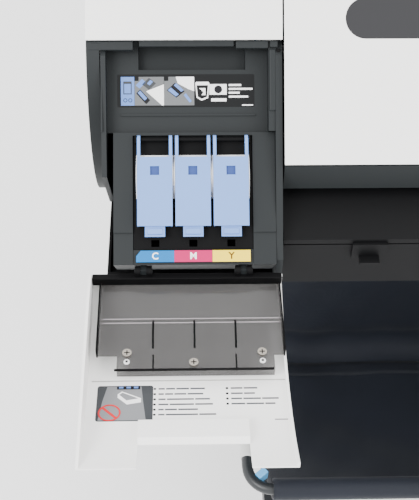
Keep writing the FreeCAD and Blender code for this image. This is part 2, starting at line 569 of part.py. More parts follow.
def cover_liner(side):
    """The smoked tray inside the cover: flat, then three ribs down to the screw flange and its front wall."""
    under = "liner_n - 2"
    foot = "flange_n - 2"
    tray = prism("yz", [("-5", "liner_n"), ("-50.5", "liner_n"), ("-82", "flange_n"), ("-90", "flange_n"),
                        ("-90", foot), ("-82", foot), ("-50.5", under), ("-5", under)],
                 *sided(side, "hood_in_x - 9.2", "liner_out_x"))
    rim = [("-5", "liner_n + 3"), ("-50.5", "liner_n + 3"), ("-82", "flange_n + 3"), ("-90", "flange_n + 3"),
           ("-90", foot), ("-82", foot), ("-50.5", under), ("-5", under)]
    flange = prism("yz", [("-84", "flange_n"), ("-107", "flange_n"), ("-107", "flange_n - 11"),
                          ("-105", "flange_n - 11"), ("-105", foot), ("-84", foot)], *mid_range(side, "-76", "74"))
    pieces = [tray, flange, prism("yz", rim, *sided(side, "liner_out_x - 3.5", "liner_out_x")),
              prism("yz", rim, *sided(side, "hood_in_x - 9.2", "hood_in_x - 6.7"))]
    for i in (-1, 0, 1):
        rib = [("-52", "liner_n - 0.4"), ("-56", "liner_n + 2"), ("-79", "flange_n + 3.5"), ("-82", "flange_n - 0.2")]
        at = "%d * (tank_pitch + 2)" % i
        pieces.append(prism("yz", rib, *mid_range(side, at + " - rib_w/2", at + " + rib_w/2")))
        if i:
            ends = "%d * screw_span" % i
            pieces.append(rod("z", (mid(side, ends), "-98.6"), "flange_n - 1", "flange_n + 2", "screw_r"))
    holes = [rod("z", spot, "flange_n - 12", "flange_n + 8", "screw_r + 0.2") for spot in screw_spots(side)]
    return place_cover(cut(fuse(*pieces), *holes))


def screw_spots(side):
    return [(mid(side, "-screw_span"), "-88.5"), (mid(side, "1"), "-100"), (mid(side, "screw_span"), "-88.5")]


def cover_screws(side):
    """Three cross-recess screws."""
    screws = []
    for x, y in screw_spots(side):
        head = rod("z", (x, y), "flange_n + 0.1", "flange_n + 2.1", "screw_head_r")
        shank = rod("z", (x, y), "flange_n - 4.5", "flange_n + 0.5", "screw_r")
        slots = [box((x + " - " + a, x + " + " + a), (y + " - " + b, y + " + " + b),
                     ("flange_n + 1.1", "flange_n + 7")) for a, b in (("2.6", "0.5"), ("0.5", "2.6"))]
        screws.append(cut(fuse(head, shank), *slots))
    return place_cover(group(*screws))


INKS = {-1: ("cyan", "magenta", "yellow"), 1: ("matte_black", "photo_black", "grey")}
for side, end in ((-1, "left"), (1, "right")):
    housing(side, end + "_bay_housing")
    slots = ["%d * tank_pitch" % (1 - i) for i in range(3)]
    tanks = [tank(side, at) for at in slots]
    for at, ink in zip(slots, INKS[side]):
        lever(side, at, "lever_" + ink)
    if side > 0:
        keep(group(tank_frame(side), tank_holder(side)), "right_tank_frame")
        keep(group(*tanks), "right_tanks")
        keep(ink_cover(side), "right_ink_cover")
        keep(cover_liner(side), "right_cover_liner")
        continue
    keep(tank_frame(side), "left_tank_frame")
    keep(tank_holder(side), "left_tank_holder")
    for piece, ink in zip(tanks, INKS[side]):
        keep(piece, "tank_" + ink)
    keep(ink_cover(side), "left_ink_cover")
    keep(cover_liner(side), "left_cover_liner")
    keep(cover_screws(side), "left_cover_screws")


# Control panel on the right end cover

PANEL_X = "(body_w/2 - bay_w/2)"


def control_panel():
    face = box((PANEL_X + " - panel_w/2", PANEL_X + " + panel_w/2"),
               ("panel_up - panel_len/2", "panel_up + panel_len/2"), ("-panel_t", 0))
    screen_v = "panel_up + 22"
    tools = [box((PANEL_X + " - lcd_w/2 - 0.3", PANEL_X + " + lcd_w/2 + 0.3"),
                 (screen_v + " - lcd_h/2 - 0.3", screen_v + " + lcd_h/2 + 0.3"), (-20, 20))]
    for i in (-1, 0, 1):
        at = PANEL_X + " + %d * 40" % i
        tools.append(rod("z", (at, "panel_up - 34"), -20, 20, "key_r + key_gap"))
        keep(place_on_deck(rod("z", (at, "panel_up - 34"), "-panel_t", "key_proud", "key_r")), "key_%d" % (i + 2))
    keep(place_on_deck(cut(face, *tools)), "control_panel")
    glass = box((PANEL_X + " - lcd_w/2", PANEL_X + " + lcd_w/2"), (screen_v + " - lcd_h/2", screen_v + " + lcd_h/2"),
                ("-panel_t - 1", "-0.4"))
    keep(place_on_deck(glass), "lcd_screen")


# Print mechanism

def chassis():
    """End plates and a back beam that carry the shaft, the rollers and the belt pulleys."""
    parts = [box(("-474", "474"), ("110", "114"), ("base_z + 38", "shaft_z + 50"))]
    holes = []
    for side in (-1, 1):
        x = sided(side, "470", "474")
        parts.append(box(x, ("-30", "112"), ("base_z + 18", "shaft_z + 50")))
        parts.append(box(sided(side, "pulley_x - 14", "472"), ("pulley_y - 10", "112"),
                         ("belt_z - 20", "belt_z - 16")))
        mark = "" if side > 0 else "-"
        parts.append(rod("z", (mark + "pulley_x", "pulley_y"), "belt_z - 18", "belt_z + 8", "3"))
    ends = ("-480", "480")
    holes.append(rod("x", ("shaft_y", "shaft_z"), ends[0], ends[1], "shaft_r + 0.3"))
    holes.append(rod("x", ("feed_y", "platen_z - feed_r"), ends[0], ends[1], "4 + shaft_gap"))
    holes.append(rod("x", ("feed_y", "platen_z + pinch_r + 0.4"), ends[0], ends[1], "2 + shaft_gap"))
    return cut(fuse(*parts), *holes)


def carriage():
    shaft = rod("x", ("shaft_y", "shaft_z"), "-shaft_len/2 - 6", "shaft_len/2 + 6", "shaft_r")
    body = box(("-carriage_w/2", "carriage_w/2"), ("shaft_y + 14 - carriage_d - 14", "shaft_y + 14"),
               ("shaft_z - 24", "shaft_z + 36"))
    recess = box(("8 - carriage_w/2", "carriage_w/2 - 8"), ("shaft_y - carriage_d + 8", "shaft_y - 18"),
                 ("shaft_z + 6", "shaft_z + 60"))
    bore = rod("x", ("shaft_y", "shaft_z"), "-carriage_w", "carriage_w", "shaft_r + shaft_gap")
    head = box(("-head_w/2", "head_w/2"), ("shaft_y - carriage_d + 10", "shaft_y - 26"),
                ("platen_z + 4", "shaft_z - 24"))
    keep(group(cut(body, recess, bore), head), "carriage")
    return shaft


def belt_drive():
    loops = []
    for grow in ("belt_gap", "belt_gap + belt_t"):
        reach = "pulley_r + " + grow
        low, high = "belt_z - belt_w/2", "belt_z + belt_w/2"
        loops.append(fuse(box(("-pulley_x", "pulley_x"), ("pulley_y - (%s)" % reach, "pulley_y + (%s)" % reach),
                              (low, high)),
                          rod("z", ("-pulley_x", "pulley_y"), low, high, reach),
                          rod("z", ("pulley_x", "pulley_y"), low, high, reach)))
    keep(cut(loops[1], loops[0]), "timing_belt")
    for sign, label in (("-", "idler_pulley"), ("", "drive_pulley")):
        wheel = rod("z", (sign + "pulley_x", "pulley_y"), "belt_z - belt_w/2 - 1", "belt_z + belt_w/2 + 1", "pulley_r")
        bore = rod("z", (sign + "pulley_x", "pulley_y"), "belt_z - 40", "belt_z + 40", "3 + shaft_gap")
        keep(cut(wheel, bore), label)


def paper_path():
    half = "platen_w/2"
    roller = fuse(rod("x", ("feed_y", "platen_z - feed_r"), "-" + half, half, "feed_r"),
                  rod("x", ("feed_y", "platen_z - feed_r"), "-474", "474", "4"))
    keep(roller, "feed_roller")
    line = ("feed_y", "platen_z + pinch_r + 0.4")
    rolls = [rod("x", line, "-474", "474", "2")]
    for i in (-1.5, -0.5, 0.5, 1.5):
        rolls.append(rod("x", line, "%g * 150 - 30" % i, "%g * 150 + 30" % i, "pinch_r"))
    keep(fuse(*rolls), "pinch_rollers")
    at = ("spool_y", "spool_z")
    spindle = [rod("x", at, "-spool_len/2 + 12", "spool_len/2 - 12", "spool_r"), rod("x", at, "-345", "345", "6")]
    for side in (-1, 1):
        x = sided(side, "306", "306 + flange_t")
        spindle.append(rod("x", at, x[0], x[1], "flange_r"))
    keep(fuse(*spindle), "roll_spindle")
    posts = [cut(box(sided(side, "330", "338"), ("spool_y - 22", "spool_y + 22"), ("base_z + 12.3", "spool_z + 20")),
                 rod("x", at, "-350", "350", "6 + shaft_gap")) for side in (-1, 1)]
    return group(*posts)


def service_parts():
    station = box(("330", "420"), ("-80", "0"), ("platen_z - 28", "platen_z - 2"))
    well = box(("342", "408"), ("-70", "-10"), ("platen_z - 12", "platen_z + 10"))
    lip = box(("352", "398"), ("-62", "-18"), ("platen_z - 20", "platen_z + 1"))
    hollow = box(("355", "395"), ("-59", "-21"), ("platen_z - 10", "platen_z + 20"))
    keep(fuse(cut(station, well), cut(lip, hollow)), "capping_station")
    cart_x = ("-cart_x - cart_w/2", "cart_w/2 - cart_x")
    body = box(cart_x, ("rear_y - 4 - cart_d", "rear_y - 4"), ("base_z + 18", "base_z + 18 + cart_h"))
    dent = box(("-cart_x - 20", "20 - cart_x"), ("rear_y - 14", "rear_y"), ("base_z + 30", "base_z + 100"))
    keep(cut(body, dent), "maintenance_cartridge")
    supply = box(("180", "290"), ("150", "280"), ("base_z + 3", "base_z + 52"))
    board = box(("345", "455"), ("130", "277"), ("base_z + 38", "base_z + 40"))
    chips = [box(("365 + 40 * %d" % k, "385 + 40 * %d" % k), ("200", "220"), ("base_z + 39", "base_z + 44"))
             for k in (0, 1)]
    keep(group(supply, fuse(board, *chips)), "electronics")


# Stand and basket

def stand():
    for side, end in ((-1, "left"), (1, "right")):
        post_x = sided(side, "leg_x - leg_w/2", "leg_x + leg_w/2")
        foot_x = sided(side, "leg_x - foot_w/2", "leg_x + foot_w/2")
        post = box(post_x, ("leg_y - leg_d/2", "leg_y + leg_d/2"), ("foot_z + foot_h/2", "base_z - 4"))
        foot = box(foot_x, ("-foot_len/2", "foot_len/2"), ("foot_z", "foot_z + foot_h"))
        head = box(sided(side, "leg_x - 46", "leg_x + 46"), ("leg_y - 100", "leg_y + 110"),
                   ("base_z - 6", "base_z - 0.3"))
        arm = box(sided(side, "leg_x", "basket_x - 14"), ("-8", "leg_y"), ("rod_z - 9", "rod_z + 9"))
        end_piece = box(sided(side, "basket_x - 24", "basket_x - 14"), ("arm_pivot_y - 9", 0),
                        ("rod_z - 9", "rod_z + 9"))
        pin_x = sided(side, "basket_x - 15", "basket_x + rod_r + 3")
        peg = rod("x", ("arm_pivot_y", "rod_z"), pin_x[0], pin_x[1], "5")
        mark = "" if side > 0 else "-"
        sockets = [rod("z", (mark + "leg_x", "%d * (foot_len/2 - caster_in)" % k), "foot_z - 10", "foot_z + 24",
                       "stem_r + 0.06") for k in (-1, 1)]
        keep(cut(fuse(post, foot, head, arm, end_piece, peg), *sockets), end + "_leg")
    inner = "leg_x - leg_w/2"
    return box(("-(%s)" % inner, inner), ("leg_y - bar_t/2", "leg_y + bar_t/2"), ("bar_z", "bar_z + bar_h"))


def caster(side, end, label):
    """A swivelling fork with its stem, and the wheel between its cheeks."""
    x = ("" if side > 0 else "-") + "leg_x"
    y = "%d * (foot_len/2 - caster_in)" % end
    hub_y = y + " + caster_trail"
    parts = [rod("z", (x, y), "foot_z - 12", "foot_z + 22", "stem_r"),
             box((x + " - 16", x + " + 16"), (y + " - 16", hub_y + " + 12"), ("foot_z - 16", "foot_z - 10"))]
    for low, high in (("-wheel_w/2 - 3.5", "-wheel_w/2 - 0.7"), ("wheel_w/2 + 0.7", "wheel_w/2 + 3.5")):
        parts.append(box((x + " + (%s)" % low, x + " + (%s)" % high), (hub_y + " - 9", hub_y + " + 9"),
                         ("wheel_r - 9", "foot_z - 12")))
    parts.append(rod("x", (hub_y, "wheel_r"), x + " - wheel_w/2 - 2", x + " + wheel_w/2 + 2", "axle_r"))
    fork = fuse(*parts)
    if end < 0:
        keep(fork, "fork_" + label)
    tyre = rod("x", (hub_y, "wheel_r"), x + " - wheel_w/2", x + " + wheel_w/2", "wheel_r")
    bore = rod("x", (hub_y, "wheel_r"), x + " - wheel_w", x + " + wheel_w", "axle_r + 0.06")
    keep(cut(tyre, bore), "wheel_" + label)
    return fork


def basket(low_bar):
    """Front rod with two arms back to the legs, a rear rod, and the cloth between them."""
    straight = "basket_x - bend_r"
    parts = [rod("x", ("rod_y", "rod_z"), "-(%s)" % straight, straight, "rod_r")]
    for side in (-1, 1):
        mark = "" if side > 0 else "-"
        parts.append(rod("y", (mark + "basket_x", "rod_z"), "rod_y + bend_r", "arm_pivot_y - 6", "rod_r"))
        bend = DOC.addObject("Part::Torus", "Bend")
        bend.Placement = FreeCAD.Placement(FreeCAD.Vector(), FreeCAD.Rotation(FreeCAD.Vector(0, 0, 1),
                                                                              180 if side < 0 else 270))
        bind(bend, "Radius1", "bend_r")
        bind(bend, "Radius2", "rod_r * 0.97")
        bend.Angle3 = 90
        for name, size in zip("xyz", (mark + "(%s)" % straight, "rod_y + bend_r", "rod_z")):
            bind(bend, "Placement.Base." + name, size)
        parts.append(bend)
        x = sided(side, "basket_x - rod_r - 2", "basket_x + rod_r + 2")
        parts.append(rod("x", ("arm_pivot_y", "rod_z"), x[0], x[1], "11"))
    bore = rod("x", ("arm_pivot_y", "rod_z"), "-400", "400", "5.06")
    keep(cut(fuse(*parts), bore), "basket_frame")
    ends = "cloth_half + 11"
    rear = [rod("x", ("rear_rod_y", "rear_rod_z"), "-(%s)" % ends, ends, "rod_r")]
    for side in (-1, 1):
        rear.append(box(sided(side, "cloth_half + 4", ends), ("rear_rod_y - 8", 24),
                        ("rear_rod_z - 9", "rear_rod_z + 9")))
        rear.append(box(sided(side, "leg_x + leg_w/2", ends), (0, 24), ("rear_rod_z - 9", "rear_rod_z + 9")))
    keep(group(low_bar, fuse(*rear)), "stand_bars")
    span = ("-cloth_half", "cloth_half")
    inner, outer = "rod_r + cloth_gap", "rod_r + cloth_gap + cloth_t"
    outside = [("rod_y - 4", "rod_z - 10", "fold_y - 130", "fold_z + 22"), ("fold_y", "fold_z", "-44", "fold_z + 8"),
               ("-34", "fold_z + 50"), ("rear_rod_y + 9", "rear_rod_z - 9")]
    inside = [("rear_rod_y + 5", "rear_rod_z - 9"), ("-38", "fold_z + 50", "-48", "fold_z + 12"),
              ("fold_y", "fold_z + cloth_t", "fold_y - 128", "fold_z + 26"), ("rod_y", "rod_z - 10")]
    sheet = prism("yz", outside + inside, *span)
    loops = []
    holes = []
    for y, z in (("rod_y", "rod_z"), ("rear_rod_y", "rear_rod_z")):
        hollow = rod("x", (y, z), "-cloth_half - 1", "cloth_half + 1", inner)
        loops.append(cut(rod("x", (y, z), span[0], span[1], outer), hollow))
        holes.append(hollow)
    keep(cut(fuse(sheet, *loops), *holes), "basket_cloth")


control_panel()
frame = chassis()
shaft = carriage()
belt_drive()
keep(group(frame, shaft, paper_path()), "chassis")
service_parts()
low_bar = stand()
forks = []
for side, end, label in ((-1, -1, "front_left"), (1, -1, "front_right"),
                         (-1, 1, "rear_left"), (1, 1, "rear_right")):
    forks.append(caster(side, end, label))
keep(group(forks[2], forks[3]), "rear_forks")
basket(low_bar)


# Check every piece, then write it
DOC.recompute()
for obj in DOC.Objects:
    if "Invalid" in obj.State or "Error" in obj.State:
        raise RuntimeError("%s did not compute" % obj.Label)
os.makedirs("parts", exist_ok=True)
for piece in PARTS:
    if piece.Shape.isNull() or not piece.Shape.isValid():
        raise RuntimeError("%s has no valid shape" % piece.Label)
for piece in PARTS:
    piece.Shape.exportStep("parts/%s.step" % piece.Label)
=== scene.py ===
"""The looks of a wide-format inkjet printer on its stand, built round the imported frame."""

import bpy
import bmesh
import json
import math
from mathutils import Matrix, Vector


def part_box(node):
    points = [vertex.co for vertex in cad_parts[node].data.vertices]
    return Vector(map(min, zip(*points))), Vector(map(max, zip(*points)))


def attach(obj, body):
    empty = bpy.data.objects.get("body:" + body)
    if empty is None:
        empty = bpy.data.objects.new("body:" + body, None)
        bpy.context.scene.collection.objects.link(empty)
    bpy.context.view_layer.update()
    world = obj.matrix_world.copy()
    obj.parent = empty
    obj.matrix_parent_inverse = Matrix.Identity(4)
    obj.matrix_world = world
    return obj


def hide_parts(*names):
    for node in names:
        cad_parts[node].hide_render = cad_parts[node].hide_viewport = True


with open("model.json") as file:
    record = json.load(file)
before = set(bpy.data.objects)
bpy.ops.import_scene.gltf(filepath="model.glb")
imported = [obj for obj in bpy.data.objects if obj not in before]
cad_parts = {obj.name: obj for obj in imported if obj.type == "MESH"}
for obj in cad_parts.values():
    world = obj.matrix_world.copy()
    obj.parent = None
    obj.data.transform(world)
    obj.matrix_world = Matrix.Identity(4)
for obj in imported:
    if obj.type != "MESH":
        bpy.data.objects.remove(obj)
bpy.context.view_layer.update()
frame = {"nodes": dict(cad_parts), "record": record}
nodes = frame["nodes"]
joints = {joint["name"]: joint for joint in frame["record"]["behaviour"]["joints"]}
MM = 0.001


# --- White moulded covers ---------------------------------------------------------------------------------
# The outer covers are injection-moulded ABS in a warm white, with a fine spark-eroded texture on the show
# side. Their edges are rounded in the tool.

def grain_group():
    """The texture of a moulded surface: fine bumps, and a colour and gloss that vary a little."""
    group = bpy.data.node_groups.new("moulded grain", "ShaderNodeTree")
    number, colour = "NodeSocketFloat", "NodeSocketColor"
    for name, kind in (("Colour", colour), ("Size", number), ("Shift", number), ("Gloss", number)):
        group.interface.new_socket(name, in_out="INPUT", socket_type=kind)
    for name, kind in (("Colour", colour), ("Height", number), ("Roughness", number)):
        group.interface.new_socket(name, in_out="OUTPUT", socket_type=kind)
    make, join = group.nodes.new, group.links.new
    source, sink = make("NodeGroupInput"), make("NodeGroupOutput")
    place = make("ShaderNodeTexCoord")
    fine = make("ShaderNodeTexNoise")
    fine.inputs["Detail"].default_value = 3.0
    join(place.outputs["Object"], fine.inputs["Vector"])
    join(source.outputs["Size"], fine.inputs["Scale"])
    broad = make("ShaderNodeTexNoise")
    broad.inputs["Scale"].default_value = 14.0
    broad.inputs["Detail"].default_value = 4.0
    join(place.outputs["Object"], broad.inputs["Vector"])
    shade = make("ShaderNodeHueSaturation")
    join(source.outputs["Colour"], shade.inputs["Color"])
    spread = make("ShaderNodeMath")
    spread.operation = "MULTIPLY_ADD"
    join(broad.outputs["Fac"], spread.inputs[0])
    join(source.outputs["Shift"], spread.inputs[1])
    spread.inputs[2].default_value = 0.96
    join(spread.outputs[0], shade.inputs["Value"])
    gloss = make("ShaderNodeMath")
    gloss.operation = "MULTIPLY_ADD"
    join(broad.outputs["Fac"], gloss.inputs[0])
    gloss.inputs[1].default_value = 0.10
    join(source.outputs["Gloss"], gloss.inputs[2])
    join(shade.outputs["Color"], sink.inputs["Colour"])
    join(fine.outputs["Fac"], sink.inputs["Height"])
    join(gloss.outputs[0], sink.inputs["Roughness"])
    return group


GRAIN = grain_group()


def moulded(name, colour, rough, size=900.0, depth=0.12, shift=0.08, metal=0.0, shine=0.5):
    """A moulded or painted finish with the shared grain."""
    mat = bpy.data.materials.new(name)
    mat.use_nodes = True
    tree = mat.node_tree
    shader = tree.nodes["Principled BSDF"]
    grain = tree.nodes.new("ShaderNodeGroup")
    grain.node_tree = GRAIN
    grain.inputs["Colour"].default_value = (*colour, 1.0)
    grain.inputs["Size"].default_value = size
    grain.inputs["Shift"].default_value = shift
    grain.inputs["Gloss"].default_value = rough
    bump = tree.nodes.new("ShaderNodeBump")
    bump.inputs["Strength"].default_value = depth
    bump.inputs["Distance"].default_value = 0.0002
    tree.links.new(grain.outputs["Colour"], shader.inputs["Base Color"])
    tree.links.new(grain.outputs["Roughness"], shader.inputs["Roughness"])
    tree.links.new(grain.outputs["Height"], bump.inputs["Height"])
    tree.links.new(bump.outputs["Normal"], shader.inputs["Normal"])
    shader.inputs["Metallic"].default_value = metal
    shader.inputs["Specular IOR Level"].default_value = shine
    return mat


def finish(material, names, edge=0.0):
    """Gives CAD nodes one material, and rounds their edges where edge is a width in millimetres."""
    for name in names:
        piece = nodes[name]
        piece.data.materials.clear()
        piece.data.materials.append(material)
        if edge:
            round_edges(piece, edge)


def round_edges(piece, edge, steps=2):
    """Rounds the sharp edges of a piece by a width in millimetres."""
    rounding = piece.modifiers.new("rounded edges", "BEVEL")
    rounding.width = edge * MM
    rounding.segments = steps
    rounding.limit_method = "ANGLE"
    rounding.angle_limit = math.radians(50)
    rounding.harden_normals = False


WHITE = moulded("warm white ABS", (0.90, 0.895, 0.88), 0.42, shift=0.03)
finish(WHITE, ["left_top_deck", "right_top_deck", "top_cover", "roll_cover", "right_ink_cover",
               "left_ink_cover"], edge=0.9)


# --- Dark housing parts -----------------------------------------------------------------------------------
# The side cases, hood panels, tank bezels, front strip and control panel are moulded in dark grey ABS with
# a matte texture; what lies deeper is black.

SLATE = moulded("slate grey ABS", (0.010, 0.0122, 0.0132), 0.50, depth=0.2, shine=0.22)
# This black also serves as painted shade: in the screw crosses, the pin holes, the hinge strip and the
# knuckle caps.
BLACK = moulded("black inner plastic and painted shade", (0.0015, 0.0015, 0.0018), 0.55, shine=0.10)
DEEP = moulded("black exit slide", (0.0020, 0.0021, 0.0025), 0.48, shine=0.14)
finish(SLATE, ["left_side_case", "right_side_case", "left_bay_housing", "right_bay_housing",
               "left_tank_frame", "right_tank_frame", "control_panel", "capping_station",
               "rear_panel"], edge=0.5)
finish(SLATE, ["front_fascia"])
finish(BLACK, ["base_tray", "left_tank_holder", "carriage", "maintenance_cartridge", "rear_sockets"])
finish(DEEP, ["output_guide"])


# --- Window in the top cover ------------------------------------------------------------------------------
# A polished dark acrylic strip, pressed into a slot of the top cover so the print can be watched.

SMOKED = moulded("dark window acrylic", (0.006, 0.006, 0.008), 0.06, depth=0.0, shift=0.0)
finish(SMOKED, ["top_cover_window", "lcd_screen"])


# --- Working places in the row frame ----------------------------------------------------------------------
# Each slope gets a matrix: x stays across the machine, y runs up the slope and z stands out of it, in
# millimetres.

def slope(y, z, angle):
    """The matrix of one slope, from its low edge in metres and its angle in degrees."""
    turn = Matrix.Rotation(math.radians(angle), 4, "X")
    return Matrix.Translation((0, y, z)) @ turn @ Matrix.Scale(MM, 4)


DECK_SLOPE = 43
BAY_SLOPE = 36
DECK_SKIN = 3
deck_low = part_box("left_top_deck")[0]
deck_rise = DECK_SKIN * MM * math.cos(math.radians(DECK_SLOPE))
deck = slope(deck_low[1], deck_low[2] + deck_rise, DECK_SLOPE)
HOOD_LENGTH = 71.5
HOOD_SINK = 25
hood_at = deck @ Vector((0, -HOOD_LENGTH, -HOOD_SINK))
hood = slope(hood_at.y, hood_at.z, DECK_SLOPE)
PIVOT = (7.5, -7.0)
pivot_at = Vector(joints["lever_magenta_pivot"]["pos_m"])
bay_turn = Matrix.Rotation(math.radians(BAY_SLOPE), 4, "X")
bay_at = pivot_at - bay_turn @ (Vector((0, *PIVOT)) * MM)
bay = slope(bay_at.y, bay_at.z, BAY_SLOPE)
hinge_at = Vector(joints["left_cover_hinge"]["pos_m"])
cover = Matrix.Translation((0, hinge_at.y, hinge_at.z)) @ Matrix.Diagonal((MM, -MM, MM, 1))
TANK_X = pivot_at.x / MM
PITCH = 37.9


def solid(name, corners, faces, where, material, body="machine", smooth=False):
    """A piece from points in one of the working places."""
    mesh = bpy.data.meshes.new(name)
    mesh.from_pydata([where @ Vector(c) for c in corners], [], faces)
    mesh.validate()
    shaped = bmesh.new()
    shaped.from_mesh(mesh)
    bmesh.ops.recalc_face_normals(shaped, faces=shaped.faces)
    shaped.to_mesh(mesh)
    shaped.free()
    mesh.materials.append(material)
    if smooth:
        mesh.shade_smooth()
    piece = bpy.data.objects.new(name, mesh)
    bpy.context.collection.objects.link(piece)
    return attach(piece, body)


def prism(name, outline, low, high, where, material, body="machine"):
    """A flat outline in x and y, raised from low to high along z."""
    count = len(outline)
    corners = [(x, y, low) for x, y in outline] + [(x, y, high) for x, y in outline]
    faces = [tuple(range(count))[::-1], tuple(range(count, 2 * count))]
    faces += [(i, (i + 1) % count, count + (i + 1) % count, count + i) for i in range(count)]
    return solid(name, corners, faces, where, material, body)


def field(x, y):
    """The outline of a rectangle from two (low, high) pairs."""
    return [(x[0], y[0]), (x[1], y[0]), (x[1], y[1]), (x[0], y[1])]


def bar(name, x, y, z, where, material, body="machine"):
    """A block from three (low, high) pairs."""
    return prism(name, field(x, y), z[0], z[1], where, material, body)


def rounded(x, y, radius, steps=5):
    """The outline of a rectangle with round corners."""
    points = []
    for cx, cy, start in ((x[1] - radius, y[1] - radius, 0), (x[0] + radius, y[1] - radius, 90),
                          (x[0] + radius, y[0] + radius, 180), (x[1] - radius, y[0] + radius, 270)):
        for i in range(steps + 1):
            angle = math.radians(start + 90 * i / steps)
            points.append((cx + radius * math.cos(angle), cy + radius * math.sin(angle)))
    return points


def disc(x, y, radius, steps=28):
    """The outline of a circle."""
    angles = [2 * math.pi * i / steps for i in range(steps)]
    return [(x + radius * math.cos(angle), y + radius * math.sin(angle)) for angle in angles]


def across(side, low, high):
    """An X range given for the left end, or its mirror image at the right end."""
    return (low, high) if side < 0 else (-high, -low)


ENDS = ((-1, "left"), (1, "right"))


# --- Lip under each end cover -----------------------------------------------------------------------------
# Below the front edge of each white end cover a dark lip closes the gap to the bay: a block at the outer
# end, a thin middle strip over the pocket, and a dark latch post with three catches beside the top cover.

LIPS = (("outer", (-496.5, -452), (-9.5, -0.6), (-11, -3.4)),
        ("middle", (-446, -352), (-6.0, 1.5), (-9, -4.0)),
        ("inner", (-350, -318), (-8.0, -0.6), (-11, -3.4)),
        ("seam", (-316, -308.4), (-7.0, -0.6), (-14, -3.4)))
CATCH_PITCH = 14
for side, end in ENDS:
    for label, x, y, z in LIPS:
        lip = bar(end + "_lip_" + label, across(side, *x), y, z, deck, SLATE)
        round_edges(lip, 0.8)
    for k in range(3):
        catch_x = across(side, -309.5, -305.5)
        catch_y = (-16.5 - CATCH_PITCH * k, -8.0 - CATCH_PITCH * k)
        catch = bar("%s_latch_%d" % (end, k), catch_x, catch_y, (-14, -6.5), deck, BLACK)
        round_edges(catch, 0.4)
    post = bar(end + "_latch_post", across(side, -317, -310), (-70, -8), (-16, -5.5), deck, SLATE)
    round_edges(post, 1.6, 3)


# --- Ink tank levers --------------------------------------------------------------------------------------
# Each tank is held down by a light blue lever, moulded in one piece: a creased plate with rolled sides, two
# thin arms to the pivot rod, a square peep hole and a latch tab with a raised rim at the free end.

BLUE = moulded("lever blue", (0.15, 0.27, 0.58), 0.45, depth=0.05, shine=0.25)
DARK_BLUE = moulded("lever blue in shade", (0.012, 0.045, 0.20), 0.5, depth=0.05)
INKS = ("cyan", "magenta", "yellow")
RIGHT_INKS = ("grey", "photo_black", "matte_black")
finish(BLUE, ["lever_" + ink for ink in INKS + RIGHT_INKS], edge=0.7)
PEEP_HALF = 4.6
PEEP_Y = (-29.6, -20.4)
TAB_HALF = 7.6
TAB_Y = (-88.6, -82.6)
for side, inks in ((-1, INKS), (1, RIGHT_INKS)):
    for i, ink in enumerate(inks):
        middle = -side * TANK_X + (i - 1) * PITCH
        well = field((middle - PEEP_HALF, middle + PEEP_HALF), PEEP_Y)
        prism("lever_well_" + ink, well, -5.2, -2.4, bay, DARK_BLUE, "lever_body_" + ink)
        rim = rounded((middle - TAB_HALF, middle + TAB_HALF), TAB_Y, 1.6)
        tab = prism("lever_tab_" + ink, rim, -3.2, -2.2, bay, BLUE, "lever_body_" + ink)
        round_edges(tab, 0.5)


# --- Ink tanks --------------------------------------------------------------------------------------------
# White polypropylene tanks; only the two rims of each thumb grip show beside its lever.

TANK = moulded("tank white", (0.78, 0.78, 0.78), 0.35)
finish(TANK, ["tank_" + ink for ink in INKS] + ["right_tanks"], edge=0.3)


# --- Ink colour strip -------------------------------------------------------------------------------------
# A printed sticker under the tanks of each end: one colour field for each ink, with its letter at the left
# end.

STRIP_Y = (-115.5, -104.0)
STRIP_Z = (-9.0, -8.6)
LETTER_SIZE = 9.5
FIELD_GAP = 0.15
CUT_CORNER = (4.5, 5.5)
PALE = (0.95, 0.95, 0.95)
FIELDS = {"cyan": ("C", (0.004, 0.15, 0.40), PALE),
          "magenta": ("M", (0.48, 0.012, 0.11), PALE),
          "yellow": ("Y", (0.90, 0.66, 0.035), (0.09, 0.03, 0.005)),
          "grey": ("G", (0.14, 0.14, 0.145), PALE),
          "photo_black": ("P", (0.05, 0.05, 0.055), PALE),
          "matte_black": ("K", (0.015, 0.015, 0.015), PALE)}


def printed(name, colour, rough=0.4):
    """A flat printed ink or label stock."""
    return moulded(name, colour, rough, depth=0.02, shift=0.02, shine=0.15)


def letter(name, text, size, where, at, material, body):
    """A printed letter, cut as a thin flat solid."""
    curve = bpy.data.curves.new(name, "FONT")
    curve.body = text
    curve.size = size
    curve.align_x = "CENTER"
    curve.align_y = "CENTER"
    curve.extrude = 0.1
    curve.offset = 0.2
    curve.resolution_u = 3
    shape = bpy.data.objects.new(name, curve)
    bpy.context.collection.objects.link(shape)
    bpy.context.view_layer.update()
    mesh = bpy.data.meshes.new_from_object(shape)
    bpy.data.objects.remove(shape)
    mesh.transform(where @ Matrix.Translation(at))
    mesh.materials.clear()
    mesh.materials.append(material)
    piece = bpy.data.objects.new(name, mesh)
    bpy.context.collection.objects.link(piece)
    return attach(piece, body)


for side, inks in ((-1, INKS), (1, RIGHT_INKS)):
    for i, ink in enumerate(inks):
        mark, ground, mark_colour = FIELDS[ink]
        left = -side * TANK_X + (i - 1.5) * PITCH
        right = left + PITCH - FIELD_GAP
        outline = field((left, right), STRIP_Y)
        if i == 0:
            outline[3:] = [(left + CUT_CORNER[0], STRIP_Y[1]), (left, STRIP_Y[1] - CUT_CORNER[1])]
        sticker = printed("sticker " + ink, ground)
        prism("ink_field_" + ink, outline, STRIP_Z[0], STRIP_Z[1], bay, sticker)
        spot = ((left + right) / 2, sum(STRIP_Y) / 2, STRIP_Z[1])
        letter_ink = printed("letter on " + ink, mark_colour)
        letter("ink_letter_" + ink, mark, LETTER_SIZE, bay, spot, letter_ink, "machine")


# --- Label on the hood ------------------------------------------------------------------------------------
# A laminated label over each bay shows how a tank goes in: a blue panel with a tank, two grey pictures, a
# tank outline with its size box, and blank lines in place of writing.

